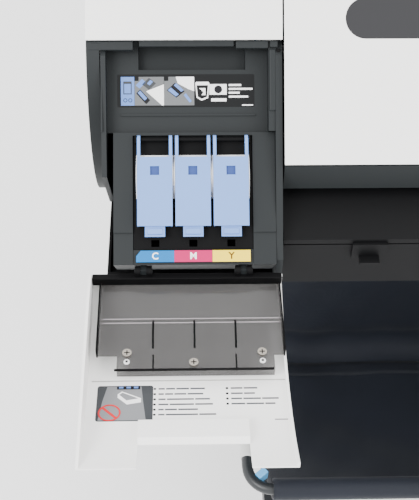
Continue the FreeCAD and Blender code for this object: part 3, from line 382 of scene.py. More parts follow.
LABEL_BLACK = printed("label black", (0.004, 0.0045, 0.005), 0.4)
LABEL_WHITE = printed("label white", (0.90, 0.90, 0.90))
LABEL_GREY = printed("label grey", (0.13, 0.135, 0.14))
LABEL_DARK = printed("label dark grey", (0.045, 0.048, 0.052))
LABEL_BLUE = printed("label blue", (0.12, 0.22, 0.52))
LABEL_INK = printed("label ink", (0.008, 0.008, 0.010))
RAISE = 0.12


def decal(name, outline, level, where, material, body="machine"):
    """One printed field; a higher level lies over a lower one."""
    return prism(name, outline, RAISE * level, RAISE * (level + 1), where, material, body)


def ring(name, x, y, outer, inner, level, where, material, body="machine"):
    """A printed ring, as a band between two circles."""
    out_edge, in_edge = disc(x, y, outer), disc(x, y, inner)
    count = len(out_edge)
    low, high = RAISE * level, RAISE * (level + 1)
    corners = [(*spot, z) for z in (low, high) for spot in out_edge + in_edge]
    faces = []
    for k in range(count):
        after = (k + 1) % count
        faces.append((2 * count + k, 2 * count + after, 3 * count + after, 3 * count + k))
        faces.append((k, after, count + after, count + k))
        faces.append((k, after, 2 * count + after, 2 * count + k))
        faces.append((count + k, count + after, 3 * count + after, 3 * count + k))
    return solid(name, corners, faces, where, material, body)


RIGHT_SHIFT = 12.8
LINE_PITCH = 3.9
LINE_WIDTHS = (12.5, 24, 11, 19.5)
for side, end in ENDS:
    shift = 0 if side < 0 else -2 * TANK_X + RIGHT_SHIFT
    at = hood @ Matrix.Translation((shift, 0, 0))
    decal(end + "_label_ground", rounded((-469, -330.5), (8, 41), 1.2), 0, at, LABEL_BLACK)
    decal(end + "_label_blue", field((-465.4, -451.9), (9.8, 38.6)), 1, at, LABEL_BLUE)
    decal(end + "_label_blue_tank", field((-463, -454.5), (21, 34)), 2, at, LABEL_DARK)
    decal(end + "_label_blue_face", field((-462, -455.5), (22, 31.5)), 3, at, LABEL_BLUE)
    for k in range(2):
        ring("%s_label_cross_%d" % (end, k), -461 + 5 * k, 15, 2.0, 1.4, 2, at, LABEL_INK)
    decal(end + "_label_picture_1", field((-451.7, -422), (9.8, 38.6)), 1, at, LABEL_GREY)
    decal(end + "_label_hand_1", [(-440, 24), (-422, 31), (-422, 10), (-424, 9.9)], 2, at, LABEL_WHITE)
    decal(end + "_label_bay_1", [(-450, 22), (-446, 26), (-436, 15), (-440, 11)], 2, at, LABEL_INK)
    tank_1 = [(-448.5, 22.5), (-446, 24.8), (-439, 17), (-441.5, 14.8)]
    decal(end + "_label_tank_1", tank_1, 3, at, LABEL_BLUE)
    decal(end + "_label_lever_1", [(-450.5, 30), (-444, 36.5), (-440, 33), (-446.5, 27)], 2, at, LABEL_BLUE)
    decal(end + "_label_part_1", [(-444, 31), (-437, 37.5), (-430, 32), (-437, 25.5)], 2, at, LABEL_DARK)
    decal(end + "_label_part_2", [(-439, 32), (-435.5, 35.5), (-433, 33.5), (-436.5, 30)], 3, at, LABEL_BLUE)
    decal(end + "_label_corner_1", field((-451.7, -447.5), (34.5, 38.6)), 3, at, LABEL_BLACK)
    decal(end + "_label_picture_2", field((-421.7, -391.4), (9.8, 38.6)), 1, at, LABEL_GREY)
    hand_2 = [(-410, 38.5), (-391.5, 38.5), (-391.5, 24), (-397, 26), (-408, 32)]
    decal(end + "_label_hand_2", hand_2, 2, at, LABEL_WHITE)
    decal(end + "_label_bay_2", [(-419, 25), (-411, 32.5), (-401, 24), (-409.5, 17.5)], 2, at, LABEL_INK)
    decal(end + "_label_tank_2", [(-418, 25), (-415, 27.8), (-407, 20.8), (-410, 18.8)], 3, at, LABEL_BLUE)
    decal(end + "_label_tank_3", [(-412, 30), (-409.5, 32), (-402, 25), (-404.5, 23.4)], 3, at, LABEL_BLUE)
    decal(end + "_label_lever_2", [(-402, 20), (-400, 22), (-394, 14), (-396, 12.5)], 2, at, LABEL_BLUE)
    decal(end + "_label_corner_2", field((-421.7, -417.5), (34.5, 38.6)), 3, at, LABEL_BLACK)
    outer_tank = [(-390.3, 32), (-389, 17.5), (-384, 14.5), (-377.5, 17), (-376, 32), (-377, 33.3),
                  (-389.5, 33.3)]
    decal(end + "_label_tank_edge", outer_tank, 1, at, LABEL_WHITE)
    inner_tank = [(-389, 30), (-387.8, 18.3), (-384, 16.3), (-378.6, 18.2), (-377.3, 30)]
    decal(end + "_label_tank_inside", inner_tank, 2, at, LABEL_BLACK)
    tank_mark = [(-386.5, 27), (-380, 27), (-380, 20), (-384, 20), (-382, 23)]
    decal(end + "_label_tank_mark", tank_mark, 3, at, LABEL_WHITE)
    decal(end + "_label_box", field((-376, -358.5), (20.4, 31)), 1, at, LABEL_WHITE)
    decal(end + "_label_dot", disc(-367.1, 25.7, 4.0), 2, at, LABEL_INK)
    decal(end + "_label_bar", field((-374.3, -358.8), (13.7, 16.7)), 1, at, LABEL_WHITE)
    for k, width in enumerate(LINE_WIDTHS):
        top = 31.0 - LINE_PITCH * k
        line = field((-356.4, -356.4 + width), (top - 1.9, top))
        decal("%s_label_line_%d" % (end, k), line, 1, at, LABEL_WHITE)
    decal(end + "_label_small_line", field((-343, -332), (9.2, 10.4)), 1, at, LABEL_WHITE)


# --- Label inside each open cover -------------------------------------------------------------------------
# Printed on the white skin itself, so it follows the curve of the cover: a grey picture with a red ring for
# "keep clear", and blank lines in place of writing. Above it runs the painted shadow of a fine step in the
# moulding.

COVER_LENGTH = 222.0
COVER_SKIN = 2.5
CURVE_STEP = 4
SKIN_START = Vector((2.0, -22.0))
SKIN_MIDDLE = Vector((COVER_LENGTH / 2, -35.0))
SKIN_END = Vector((COVER_LENGTH, -2.0))


def circle_through(a, b, c):
    """Centre and radius of the circle through three points."""
    twice = 2 * (a.x * (b.y - c.y) + b.x * (c.y - a.y) + c.x * (a.y - b.y))
    a_sq, b_sq, c_sq = a.length_squared, b.length_squared, c.length_squared
    x = (a_sq * (b.y - c.y) + b_sq * (c.y - a.y) + c_sq * (a.y - b.y)) / twice
    y = (a_sq * (c.x - b.x) + b_sq * (a.x - c.x) + c_sq * (b.x - a.x)) / twice
    middle = Vector((x, y))
    return middle, (a - middle).length


SKIN_CENTRE, SKIN_RADIUS = circle_through(SKIN_START, SKIN_MIDDLE, SKIN_END)


def skin_height(p):
    """Height of the cover's inner face, at a distance p from the hinge."""
    return SKIN_CENTRE.y - math.sqrt(SKIN_RADIUS ** 2 - (p - SKIN_CENTRE.x) ** 2) + COVER_SKIN


def on_skin(name, outline, level, material, body):
    """A printed field on the curved inner face. Its outline is cut into narrow strips along the curve."""
    flat = bmesh.new()
    flat.faces.new([flat.verts.new((x, p, 0)) for x, p in outline])
    low, high = min(p for x, p in outline), max(p for x, p in outline)
    for k in range(1, int((high - low) / CURVE_STEP) + 1):
        seam = (0, low + CURVE_STEP * k, 0)
        everything = flat.verts[:] + flat.edges[:] + flat.faces[:]
        bmesh.ops.bisect_plane(flat, geom=everything, plane_co=seam, plane_no=(0, 1, 0))
    bottom = flat.faces[:]
    raised = bmesh.ops.extrude_face_region(flat, geom=bottom)["geom"]
    top = {item for item in raised if isinstance(item, bmesh.types.BMVert)}
    for vert in flat.verts:
        lift = RAISE * (level + 1) if vert in top else RAISE * level - 0.1
        vert.co.z = skin_height(vert.co.y) + lift
    bmesh.ops.recalc_face_normals(flat, faces=flat.faces)
    mesh = bpy.data.meshes.new(name)
    flat.to_mesh(mesh)
    flat.free()
    mesh.transform(cover)
    mesh.flip_normals()
    mesh.materials.append(material)
    piece = bpy.data.objects.new(name, mesh)
    bpy.context.collection.objects.link(piece)
    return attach(piece, body)


STEP_SHADOW = printed("step shadow", (0.42, 0.415, 0.40))
PICTURE_LIGHT = printed("cover picture light grey", (0.20, 0.205, 0.215))
WARN_RED = printed("warning red", (0.62, 0.018, 0.025))
WORDS = printed("grey print", (0.07, 0.07, 0.08))
LINES = ((8, 11, 15, 17), (7, 10, 14, 18), (9, 30, 17), (12, 27, 20), (7, 14, 22), (8, 35, 19))
SHORT_LINES = ((14, 16), (14, 13), (13, 20, 19), (16, 20, 12))
COVER_SHIFT = 6
COVER_LINE_PITCH = 6.4
WORD_SCALE = 0.88
WORD_GAP = 1.2
RING_STEPS = 40
for side, end in ENDS:
    body = end + "_cover"
    shift = 0 if side < 0 else -2 * TANK_X + COVER_SHIFT
    left, right = across(side, -491.5, -305)
    # Painted shadow: a grey line on the skin for the shade under the fine step in the moulding.
    on_skin(end + "_cover_step_shadow", field((left, right), (109.6, 110.6)), 4, STEP_SHADOW, body)
    frame_x = (-485.5 + shift, -433 + shift)
    middle = sum(frame_x) / 2
    on_skin(end + "_picture", rounded(frame_x, (115.5, 159.5), 2.5), 0, LABEL_DARK, body)
    print_outline = [(middle - 17, 116.5), (middle + 15, 116.5), (middle + 17, 135), (middle + 20, 158.5),
                     (middle - 24, 158.5), (middle - 21, 135)]
    on_skin(end + "_picture_machine", print_outline, 1, PICTURE_LIGHT, body)
    on_skin(end + "_picture_bay", field((middle - 8, middle + 14), (116.5, 120)), 2, LABEL_INK, body)
    for k in range(3):
        lever_x = middle - 4 + 7 * k
        mark = field((lever_x - 2, lever_x + 2), (116.8, 118.8))
        on_skin("%s_picture_lever_%d" % (end, k), mark, 3, LABEL_BLUE, body)
    block = [(middle - 7, 126), (middle - 3, 122.5), (middle + 15, 131), (middle + 15, 136),
             (middle + 2, 138.5), (middle - 7, 130)]
    on_skin(end + "_picture_block", block, 2, LABEL_WHITE, body)
    inner_block = [(middle - 5.5, 126.5), (middle - 2.6, 124), (middle + 12.5, 131.2),
                   (middle + 1.5, 133.6)]
    on_skin(end + "_picture_block_top", inner_block, 3, PICTURE_LIGHT, body)
    centre = (frame_x[0] + 12.5, 149.0)
    slash = [(centre[0] - 7.8, 142.6), (centre[0] - 6.2, 141.0), (centre[0] + 7.8, 155.4),
             (centre[0] + 6.2, 157.0)]
    on_skin(end + "_picture_slash", slash, 3, WARN_RED, body)
    outer_ring = disc(centre[0], centre[1], 10.4, RING_STEPS)
    inner_ring = disc(centre[0], centre[1], 9.0, RING_STEPS)
    for k in range(RING_STEPS):
        after = (k + 1) % RING_STEPS
        part = [outer_ring[k], outer_ring[after], inner_ring[after], inner_ring[k]]
        on_skin("%s_picture_ring_%d" % (end, k), part, 4, WARN_RED, body)
    for column, (start, lines) in enumerate(((-431.5 + shift, LINES), (-363.5 + shift, SHORT_LINES))):
        for row, words in enumerate(lines):
            at_p = 119.6 + COVER_LINE_PITCH * row
            dot = disc(start, at_p, 1.3, 12)
            on_skin("%s_dot_%d_%d" % (end, column, row), dot, 0, LABEL_INK, body)
            word_x = start + 3.5
            for k, width in enumerate(words):
                word_end = word_x + width * WORD_SCALE - WORD_GAP
                word = field((word_x, word_end), (at_p - 0.9, at_p + 0.9))
                on_skin("%s_word_%d_%d_%d" % (end, column, row, k), word, 0, WORDS, body)
                word_x += width * WORD_SCALE
    small_word = field((-321 + shift, -309 + shift), (158.6, 159.7))
    on_skin(end + "_small_word", small_word, 0, WORDS, body)


# --- Metal parts ------------------------------------------------------------------------------------------
# Screws are nickel plated; the chassis and rollers are plain steel; the stand is powder coated.

NICKEL = moulded("nickel plate", (0.36, 0.33, 0.29), 0.25, depth=0.0, metal=1.0)
STEEL = moulded("plain steel", (0.55, 0.55, 0.56), 0.32, depth=0.05, metal=1.0)
COAT = moulded("black powder coat", (0.008, 0.009, 0.011), 0.42, size=500.0, depth=0.25)
finish(NICKEL, ["left_cover_screws"], edge=0.5)
finish(STEEL, ["chassis", "feed_roller", "drive_pulley", "idler_pulley"])
finish(COAT, ["left_leg", "right_leg", "stand_bars", "fork_front_left", "fork_front_right",
              "rear_forks"], edge=1.2)


# --- Cross recess of each cover screw ---------------------------------------------------------------------
# Each pan head has a pressed cross, drawn as black bars of painted shade in the recess, so it reads at a
# distance.
# A pale locating pin with a small hole stands beside each outer screw; the hole is a black disc of painted
# shade.

SCREWS = ((-64.5, 88.5), (-1.0, 100.0), (64.5, 88.5))
SCREW_TOP = -15.9
CROSS_ARMS = ((2.7, 0.55), (0.55, 2.7))
PIN_X = 64.5
PIN_P = 98.6
for k, (screw_x, screw_p) in enumerate(SCREWS):
    place_x = TANK_X + screw_x
    for arm, (half_x, half_p) in enumerate(CROSS_ARMS):
        cross_x = (place_x - half_x, place_x + half_x)
        cross_p = (screw_p - half_p, screw_p + half_p)
        cross_z = (SCREW_TOP - 0.5, SCREW_TOP + 0.06)
        # Painted shade: black bars in the cross recess.
        bar("screw_cross_shade_%d_%d" % (k, arm), cross_x, cross_p, cross_z, cover, BLACK, "left_cover")
for k in (-1, 1):
    pin_edge = disc(TANK_X + PIN_X * k, PIN_P, 2.9)
    pin = prism("locating_pin_%d" % (k + 2), pin_edge, -18.1, -16.2, cover, TANK, "left_cover")
    round_edges(pin, 0.6)
    hole_shade_edge = disc(TANK_X + PIN_X * k, PIN_P, 1.0)
    # Painted shade: a black disc in the pin's hole.
    prism("locating_hole_shade_%d" % (k + 2), hole_shade_edge, -16.4, -16.1, cover, BLACK, "left_cover")


# --- Rubber, keys and boards ------------------------------------------------------------------------------
# Tyres and the belt are black rubber, the keys and the spool grey plastic, the board green solder mask.

RUBBER = moulded("black rubber", (0.014, 0.014, 0.014), 0.7)
finish(RUBBER, ["timing_belt", "pinch_rollers"])
finish(RUBBER, ["wheel_front_left", "wheel_front_right", "wheel_rear_left", "wheel_rear_right"], edge=2.0)
KEY = moulded("key grey", (0.30, 0.31, 0.32), 0.4)
finish(KEY, ["key_1", "key_2", "key_3", "roll_spindle"], edge=0.4)
BOARD = moulded("green board", (0.02, 0.14, 0.06), 0.4)
finish(BOARD, ["electronics"])


# --- Smoked liner of the open cover -----------------------------------------------------------------------
# A smoked polycarbonate tray, screwed inside the ink cover; the white cover shows through it as a warm
# grey.

def smoked_clear(name, tint, alpha):
    """A smooth plastic that lets part of what lies behind it show."""
    mat = bpy.data.materials.new(name)
    mat.use_nodes = True
    shader = mat.node_tree.nodes["Principled BSDF"]
    shader.inputs["Base Color"].default_value = (*tint, 1.0)
    shader.inputs["Roughness"].default_value = 0.08
    shader.inputs["Alpha"].default_value = alpha
    return mat


LINER = smoked_clear("smoked polycarbonate", (0.014, 0.0115, 0.012), 0.52)
finish(LINER, ["left_cover_liner", "right_cover_liner"], edge=0.4)


# --- Strip over the cover's hinge edge --------------------------------------------------------------------
# A black strip along the folded edge of each ink cover beside its hinge is painted shadow of the hinge, and
# dark end ribs close the sides of the liner.

# Painted highlight: a bright grey for the light caught along the liner's bend.
BEND_HIGHLIGHT = moulded("painted bend highlight", (0.26, 0.24, 0.25), 0.2, depth=0.0, shift=0.0)


def knuckle(name, low, high, body):
    """A black cap round one knuckle of the cover's hinge, painted shadow over the knuckle's white end."""
    around = disc(0, 0, 5.0, 24)
    count = len(around)
    corners = [(x, y, z) for x in (low, high) for y, z in around]
    faces = [tuple(range(count)), tuple(range(count, 2 * count))[::-1]]
    faces += [(k, (k + 1) % count, count + (k + 1) % count, count + k) for k in range(count)]
    return solid(name, corners, faces, cover, BLACK, body)


LINER_EDGES = (("outer", (-487.6, -486.1)), ("inner", (-308.2, -306.8)))
RIB_PITCH = 39.9
RIB_HALF = 0.95
RIB_EDGE = ((52, -13.6), (56, -10.8), (79, -14.3), (82.4, -18.4))
BEND_HIGHLIGHTS = (50.2, 54.6)
KNUCKLES = (-58.6, -47.0, 41.4, 53.0)
KNUCKLE_WIDTH = 5.4
FLANGE_RIB_X = 39.5
for side, end in ENDS:
    body = end + "_cover"
    strip_x = across(side, -494.5, -305.5)
    # Painted shadow of the hinge: a black strip over the cover's folded edge.
    strip = bar(end + "_hinge_shadow_strip", strip_x, (1.0, 8.0), (-13, -3.0), cover, BLACK, body)
    round_edges(strip, 0.8)
    for label, x in LINER_EDGES:
        rib_name = "%s_liner_edge_%s" % (end, label)
        rib = bar(rib_name, across(side, *x), (6, 90), (-22, -9.5), cover, BLACK, body)
        round_edges(rib, 0.4)
    for k in (-1, 0, 1):
        rib_x = -side * TANK_X + RIB_PITCH * k
        corners = [(x, p, up) for x in (rib_x - RIB_HALF, rib_x + RIB_HALF) for p, up in RIB_EDGE]
        faces = [(0, 1, 2, 3), (7, 6, 5, 4), (0, 4, 5, 1), (1, 5, 6, 2), (2, 6, 7, 3), (3, 7, 4, 0)]
        solid("%s_liner_rib_%d" % (end, k + 2), corners, faces, cover, BLACK, body)
    # Painted highlight: two thin bright bars across the liner, for the light along its bend.
    for k, at_p in enumerate(BEND_HIGHLIGHTS):
        highlight_up = -12.9 - 0.16 * max(0.0, at_p - 50.5)
        highlight_z = (highlight_up - 0.3, highlight_up + 0.15)
        highlight_x = across(side, -485.8, -308.6)
        bar("%s_liner_bend_highlight_%d" % (end, k), highlight_x, (at_p, at_p + 1.0), highlight_z, cover, BEND_HIGHLIGHT, body)
    # Painted shadow by the hinge: black caps and feet over the white knuckle ends.
    for k, low in enumerate(KNUCKLES):
        knuckle_x = -side * TANK_X + low + 0.1
        knuckle("%s_knuckle_shadow_cap_%d" % (end, k), knuckle_x, knuckle_x + KNUCKLE_WIDTH, body)
        foot_x = (knuckle_x - 0.05, knuckle_x + KNUCKLE_WIDTH + 0.05)
        bar("%s_knuckle_shadow_foot_%d" % (end, k), foot_x, (0.6, 5.0), (-8.2, -2.0), cover, BLACK, body)
    for k in (-1, 1):
        rib_x = (-side * TANK_X + FLANGE_RIB_X * k - 0.7, -side * TANK_X + FLANGE_RIB_X * k + 0.7)
        bar("%s_flange_rib_%d" % (end, k + 2), rib_x, (90, 107.4), (-20.5, -17.6), cover, BLACK, body)
    edge_x = across(side, -469.8, -318.8)
    bar(end + "_flange_edge", edge_x, (106.2, 107.6), (-19.6, -17.4), cover, BLACK, body)


# --- Basket rod -------------------------------------------------------------------------------------------
# The rod is painted steel tube with a light grey sleeve on each arm, and a small blue clip at each front
# corner that holds the cloth's edge.

TUBE = moulded("dark painted tube", (0.016, 0.018, 0.020), 0.32, depth=0.03, shine=0.4)
finish(TUBE, ["basket_frame"])
SLEEVE = moulded("light grey sleeve", (0.55, 0.55, 0.54), 0.4)
CLIP = moulded("clip blue", (0.10, 0.36, 0.66), 0.4)
ROD_RADIUS = 7.0
BEND_RADIUS = 30.0
frame_low, frame_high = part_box("basket_frame")
rod_y = frame_low[1] / MM + ROD_RADIUS
rod_z = (frame_low[2] + frame_high[2]) / 2 / MM
ARM_X = 328.0
SLEEVE_Y = (-292, -314)
CLIP_ANGLE = math.radians(40)
plain = Matrix.Scale(MM, 4)


def tube(name, spots, radius, material, body="machine", sides=20):
    """A round sleeve along a few points."""
    corners, faces = [], []
    for spot, direction in spots:
        turn = Vector(direction).to_track_quat("Z", "Y").to_matrix()
        for k in range(sides):
            angle = 2 * math.pi * k / sides
            edge = Vector((radius * math.cos(angle), radius * math.sin(angle), 0))
            corners.append(Vector(spot) + turn @ edge)
    for row in range(len(spots) - 1):
        low, high = row * sides, (row + 1) * sides
        for k in range(sides):
            after = (k + 1) % sides
            faces.append((low + k, low + after, high + after, high + k))
    faces.append(tuple(range(sides))[::-1])
    faces.append(tuple(range((len(spots) - 1) * sides, len(spots) * sides)))
    piece = solid(name, corners, faces, plain, material, body)
    round_edges(piece, 0.6)
    return piece


for side, end in ENDS:
    spots = [((side * ARM_X, y, rod_z), (0, 1, 0)) for y in SLEEVE_Y]
    tube(end + "_sleeve", spots, ROD_RADIUS + 1.4, SLEEVE)
    bend = Vector((side * (ARM_X - BEND_RADIUS), rod_y + BEND_RADIUS, rod_z))
    out = Vector((side * math.cos(CLIP_ANGLE), -math.sin(CLIP_ANGLE), 0))
    along = Vector((-out.y, out.x, 0))
    near, far = bend + out * 11, bend + out * (BEND_RADIUS - ROD_RADIUS + 2)
    corners = [spot + along * w + Vector((0, 0, h)) for h in (-7, 8) for spot, w in
               ((near, -4.5), (far, -4.5), (far, 4.5), (near, 4.5))]
    faces = [(3, 2, 1, 0), (4, 5, 6, 7), (0, 1, 5, 4), (1, 2, 6, 5), (2, 3, 7, 6), (3, 0, 4, 7)]
    clip = solid(end + "_clip", corners, faces, plain, CLIP)
    round_edges(clip, 1.0)


# --- Basket cloth -----------------------------------------------------------------------------------------
# One sheet of dark woven polyester, hemmed round the front rod and the rear rod. It hangs between them in a
# long curve with a fold at the bottom, and it has soft creases where it has been folded away.

def woven_group():
    """Plain weave: two sets of fine ribs, with a broad change of shade where the cloth has been handled."""
    group = bpy.data.node_groups.new("plain weave", "ShaderNodeTree")
    for name, kind in (("Colour", "NodeSocketColor"), ("Threads", "NodeSocketFloat")):
        group.interface.new_socket(name, in_out="INPUT", socket_type=kind)
    for name, kind in (("Colour", "NodeSocketColor"), ("Height", "NodeSocketFloat")):
        group.interface.new_socket(name, in_out="OUTPUT", socket_type=kind)
    make, join = group.nodes.new, group.links.new
    source, sink = make("NodeGroupInput"), make("NodeGroupOutput")
    place = make("ShaderNodeTexCoord")
    ribs = []
    for direction in ("X", "Y"):
        wave = make("ShaderNodeTexWave")
        wave.bands_direction = direction
        wave.inputs["Distortion"].default_value = 0.4
        join(place.outputs["Object"], wave.inputs["Vector"])
        join(source.outputs["Threads"], wave.inputs["Scale"])
        ribs.append(wave)
    weave = make("ShaderNodeMath")
    weave.operation = "MAXIMUM"
    join(ribs[0].outputs["Fac"], weave.inputs[0])
    join(ribs[1].outputs["Fac"], weave.inputs[1])
    broad = make("ShaderNodeTexNoise")
    broad.inputs["Scale"].default_value = 6.0
    broad.inputs["Detail"].default_value = 5.0
    join(place.outputs["Object"], broad.inputs["Vector"])
    value = make("ShaderNodeMapRange")
    value.inputs["To Min"].default_value = 0.75
    value.inputs["To Max"].default_value = 1.35
    join(broad.outputs["Fac"], value.inputs["Value"])
    shade = make("ShaderNodeHueSaturation")
    join(source.outputs["Colour"], shade.inputs["Color"])
    join(value.outputs["Result"], shade.inputs["Value"])
    join(shade.outputs["Color"], sink.inputs["Colour"])
    join(weave.outputs[0], sink.inputs["Height"])
    return group


WEAVE = woven_group()


def cloth_finish(name, colour, sheen):
    """The woven finish in one colour."""
    mat = bpy.data.materials.new(name)
    mat.use_nodes = True
    tree = mat.node_tree
    shader = tree.nodes["Principled BSDF"]
    weave = tree.nodes.new("ShaderNodeGroup")
    weave.node_tree = WEAVE
    weave.inputs["Colour"].default_value = (*colour, 1.0)
    weave.inputs["Threads"].default_value = 420.0
    bump = tree.nodes.new("ShaderNodeBump")
    bump.inputs["Strength"].default_value = 0.35
    bump.inputs["Distance"].default_value = 0.0003
    tree.links.new(weave.outputs["Colour"], shader.inputs["Base Color"])
    tree.links.new(weave.outputs["Height"], bump.inputs["Height"])
    tree.links.new(bump.outputs["Normal"], shader.inputs["Normal"])
    shader.inputs["Roughness"].default_value = 0.66
    shader.inputs["Specular IOR Level"].default_value = 0.25
    shader.inputs["Sheen Weight"].default_value = sheen
    return mat


CLOTH = cloth_finish("navy polyester", (0.0055, 0.0075, 0.013), 0.04)
# The darker hem cloth also paints the shadow in the bottom fold.
HEM_AND_FOLD_SHADOW = cloth_finish("navy polyester hem and fold shadow", (0.0040, 0.0055, 0.0095), 0.03)
CLOTH_HALF = 299.0
THICK = 1.2
LOOP = 12.5
cloth_low, cloth_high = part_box("basket_cloth")
rear_z = cloth_high[2] / MM - 14.0
rear_y = -40.0
fold = Vector((-70.0, cloth_low[2] / MM + 3.0))


def arc(start, via, end, steps):
    """Points on the circle through three points, from the first to the last."""
    centre, radius = circle_through(start, via, end)
    first = math.atan2(start.y - centre.y, start.x - centre.x)
    turn = math.atan2(end.y - centre.y, end.x - centre.x) - first
    turn = (turn + math.pi) % (2 * math.pi) - math.pi
    angles = [first + turn * k / steps for k in range(steps + 1)]
    return [centre + radius * Vector((math.cos(a), math.sin(a))) for a in angles]


def loop(centre, start, sweep, steps=14):
    """The hem round a rod, as points (y, z)."""
    angles = [math.radians(start + sweep * k / steps) for k in range(steps + 1)]
    return [centre + LOOP * Vector((math.cos(a), math.sin(a))) for a in angles]


front, rear = Vector((rod_y, rod_z)), Vector((rear_y, rear_z))
front_run = loop(front, -40, 250)
sag = arc(front_run[-1], Vector((-205.0, fold.y + 23.0)), fold, 46)[1:]
rise = arc(fold, Vector((-45.0, fold.y + 9.0)), Vector((-36.0, fold.y + 50.0)), 10)[1:]
CLIMB_STEPS = 22
climb_end = rear + Vector((8.5, -LOOP))
climb = [rise[-1].lerp(climb_end, k / CLIMB_STEPS) for k in range(1, CLIMB_STEPS + 1)]
profile = front_run + sag + rise + climb + loop(rear, -45, 255)
COLUMNS = 90


def crease(x, travel, share):
    """How far the cloth stands off its plain shape: soft folds that fade out at both rods."""
    fade = math.sin(math.pi * min(1.0, max(0.0, share))) ** 0.7
    broad = 2.6 * math.sin(x / 41.0 + travel / 55.0) * math.sin(travel / 83.0 + 0.6)
    fine = 1.1 * math.sin(x / 13.0 - travel / 21.0) * math.sin(x / 67.0 + 1.2)
    diagonal = 1.3 * math.sin((x + 1.7 * travel) / 29.0) * math.exp(-((x + 210) / 90.0) ** 2)
    return fade * (broad + fine + diagonal)


travels = [0.0]
for before, after in zip(profile, profile[1:]):
    travels.append(travels[-1] + (after - before).length)
cloth_length = travels[-1]
hem_length = travels[len(front_run) - 1] + 24.0


def cloth_grid(rows, lift):
    """Points and faces of the cloth over some rows of its profile, lifted off its plain shape."""
    spots, quads = [], []
    for row in rows:
        before, after = profile[max(0, row - 1)], profile[min(len(profile) - 1, row + 1)]
        along = (after - before).normalized()
        off = Vector((-along.y, along.x))
        free = (travels[row] - hem_length) / (cloth_length - 2 * hem_length)
        for column in range(COLUMNS + 1):
            x = CLOTH_HALF * (2 * column / COLUMNS - 1)
            stand = crease(x, travels[row], free) + lift
            spots.append((x, profile[row].x + off.x * stand, profile[row].y + off.y * stand))
    for row in range(len(rows) - 1):
        for column in range(COLUMNS):
            first = row * (COLUMNS + 1) + column
            quads.append((first, first + 1, first + COLUMNS + 2, first + COLUMNS + 1))
    return spots, quads


corners, faces = cloth_grid(range(len(profile)), 0.0)
basket = solid("basket_sheet", corners, faces, plain, CLOTH, smooth=True)
thickness = basket.modifiers.new("cloth thickness", "SOLIDIFY")
thickness.thickness = THICK * MM
thickness.offset = 0
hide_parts("basket_cloth")


# --- Hem band and painted fold shadow ---------------------------------------------------------------------
# A doubled band of the same cloth is sewn along the front rod; a darker band along the bottom fold is
# painted shadow in the crease.

def band(name, low, high, lift, material):
    """A strip laid on the cloth between two distances along its length."""
    rows = [row for row in range(len(profile)) if low <= travels[row] <= high]
    spots, quads = cloth_grid(rows, lift)
    strip = solid(name, spots, quads, plain, material, smooth=True)
    doubled = strip.modifiers.new("band thickness", "SOLIDIFY")
    doubled.thickness = BAND_THICK * MM
    doubled.offset = 0
    return strip


FOLD_AT = travels[len(front_run) + len(sag) - 1]
INWARD = 1.1
BAND_THICK = 0.8
hem = band("front_hem", 30.0, hem_length + 14.0, INWARD, HEM_AND_FOLD_SHADOW)
# Painted shadow: the fold band's darker cloth stands for the shade in the bottom fold.
fold_shadow_band = band("fold_shadow_band", FOLD_AT - 16.0, FOLD_AT + 8.0, INWARD, HEM_AND_FOLD_SHADOW)


# --- Control panel print ----------------------------------------------------------------------------------
# The screen shows a plain pale menu; each key carries a small generic sign.

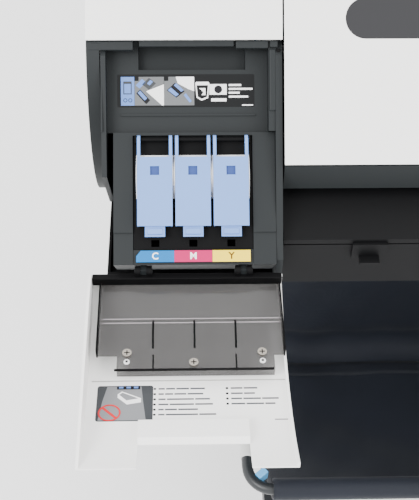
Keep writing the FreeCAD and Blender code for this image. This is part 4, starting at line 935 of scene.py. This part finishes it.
SCREEN = printed("screen glow", (0.32, 0.42, 0.40), 0.15)
screen_low, screen_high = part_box("lcd_screen")
screen_x = (screen_low[0] + screen_high[0]) / 2 / MM
PANEL_UP = 96.0
MENU_PITCH = 6.5
KEY_PITCH = 40
screen_at = deck @ Matrix.Translation((screen_x, PANEL_UP + 22, -0.4))
decal("screen_field", rounded((-33, 33), (-16, 16), 1.5), 0, screen_at, SCREEN)
for k in range(4):
    low = 9.5 - MENU_PITCH * k
    menu_line = field((-28, 24 - 9 * (k % 2)), (low, 11.5 - MENU_PITCH * k))
    decal("screen_line_%d" % k, menu_line, 1, screen_at, LABEL_INK)
for k in (-1, 0, 1):
    key_at = deck @ Matrix.Translation((screen_x + KEY_PITCH * k, PANEL_UP - 34, 1.5))
    sign = [(-2.4, -2.6), (2.8, 0), (-2.4, 2.6)] if k else disc(0, 0, 2.4, 20)
    decal("key_sign_%d" % (k + 2), sign, 0, key_at, LABEL_WHITE, "panel_key_%d" % (k + 2))


# --- Studio -----------------------------------------------------------------------------------------------
# A pale floor, two soft boxes and a bright even surround.

FLOOR = moulded("pale floor", (0.97, 0.97, 0.97), 0.9, depth=0.0, shift=0.0, shine=0.1)
floor_mesh = bpy.data.meshes.new("floor")
floor_mesh.from_pydata([(-6, -6, 0), (6, -6, 0), (6, 6, 0), (-6, 6, 0)], [], [(0, 1, 2, 3)])
floor_mesh.materials.append(FLOOR)
floor = bpy.data.objects.new("floor", floor_mesh)
bpy.context.collection.objects.link(floor)

world = bpy.data.worlds.new("surround")
bpy.context.scene.world = world
world.use_nodes = True
background = world.node_tree.nodes["Background"]
background.inputs["Color"].default_value = (1.0, 1.0, 1.0, 1.0)
background.inputs["Strength"].default_value = 2.6


def soft_box(name, at, target, size, power):
    """A rectangular light that faces a point."""
    light = bpy.data.lights.new(name, "AREA")
    light.energy = power
    light.shape = "RECTANGLE"
    light.size, light.size_y = size
    lamp = bpy.data.objects.new(name, light)
    bpy.context.collection.objects.link(lamp)
    lamp.location = at
    lamp.rotation_euler = (Vector(target) - Vector(at)).to_track_quat("-Z", "Y").to_euler()


soft_box("key light", (-1.9, -1.7, 2.6), (-0.35, -0.25, 0.85), (1.4, 1.0), 75)
soft_box("fill light", (1.6, -1.2, 2.4), (-0.1, -0.2, 0.85), (1.6, 1.2), 30)

LENS = 74.45
CAMERA_AT = (-0.4033, -0.9609, 1.5608)
TILT = 41.67
TURN = -2.15
ROLL = 1.15
camera_data = bpy.data.cameras.new("camera")
camera_data.lens = LENS
camera_data.sensor_width = 36.0
camera_data.sensor_fit = "AUTO"
camera = bpy.data.objects.new("camera", camera_data)
bpy.context.collection.objects.link(camera)
turned = Matrix.Rotation(math.radians(TURN), 4, "Z")
tilted = Matrix.Rotation(math.radians(TILT), 4, "X")
rolled = Matrix.Rotation(math.radians(ROLL), 4, "Z")
camera.matrix_world = Matrix.Translation(CAMERA_AT) @ turned @ tilted @ rolled
bpy.context.scene.camera = camera
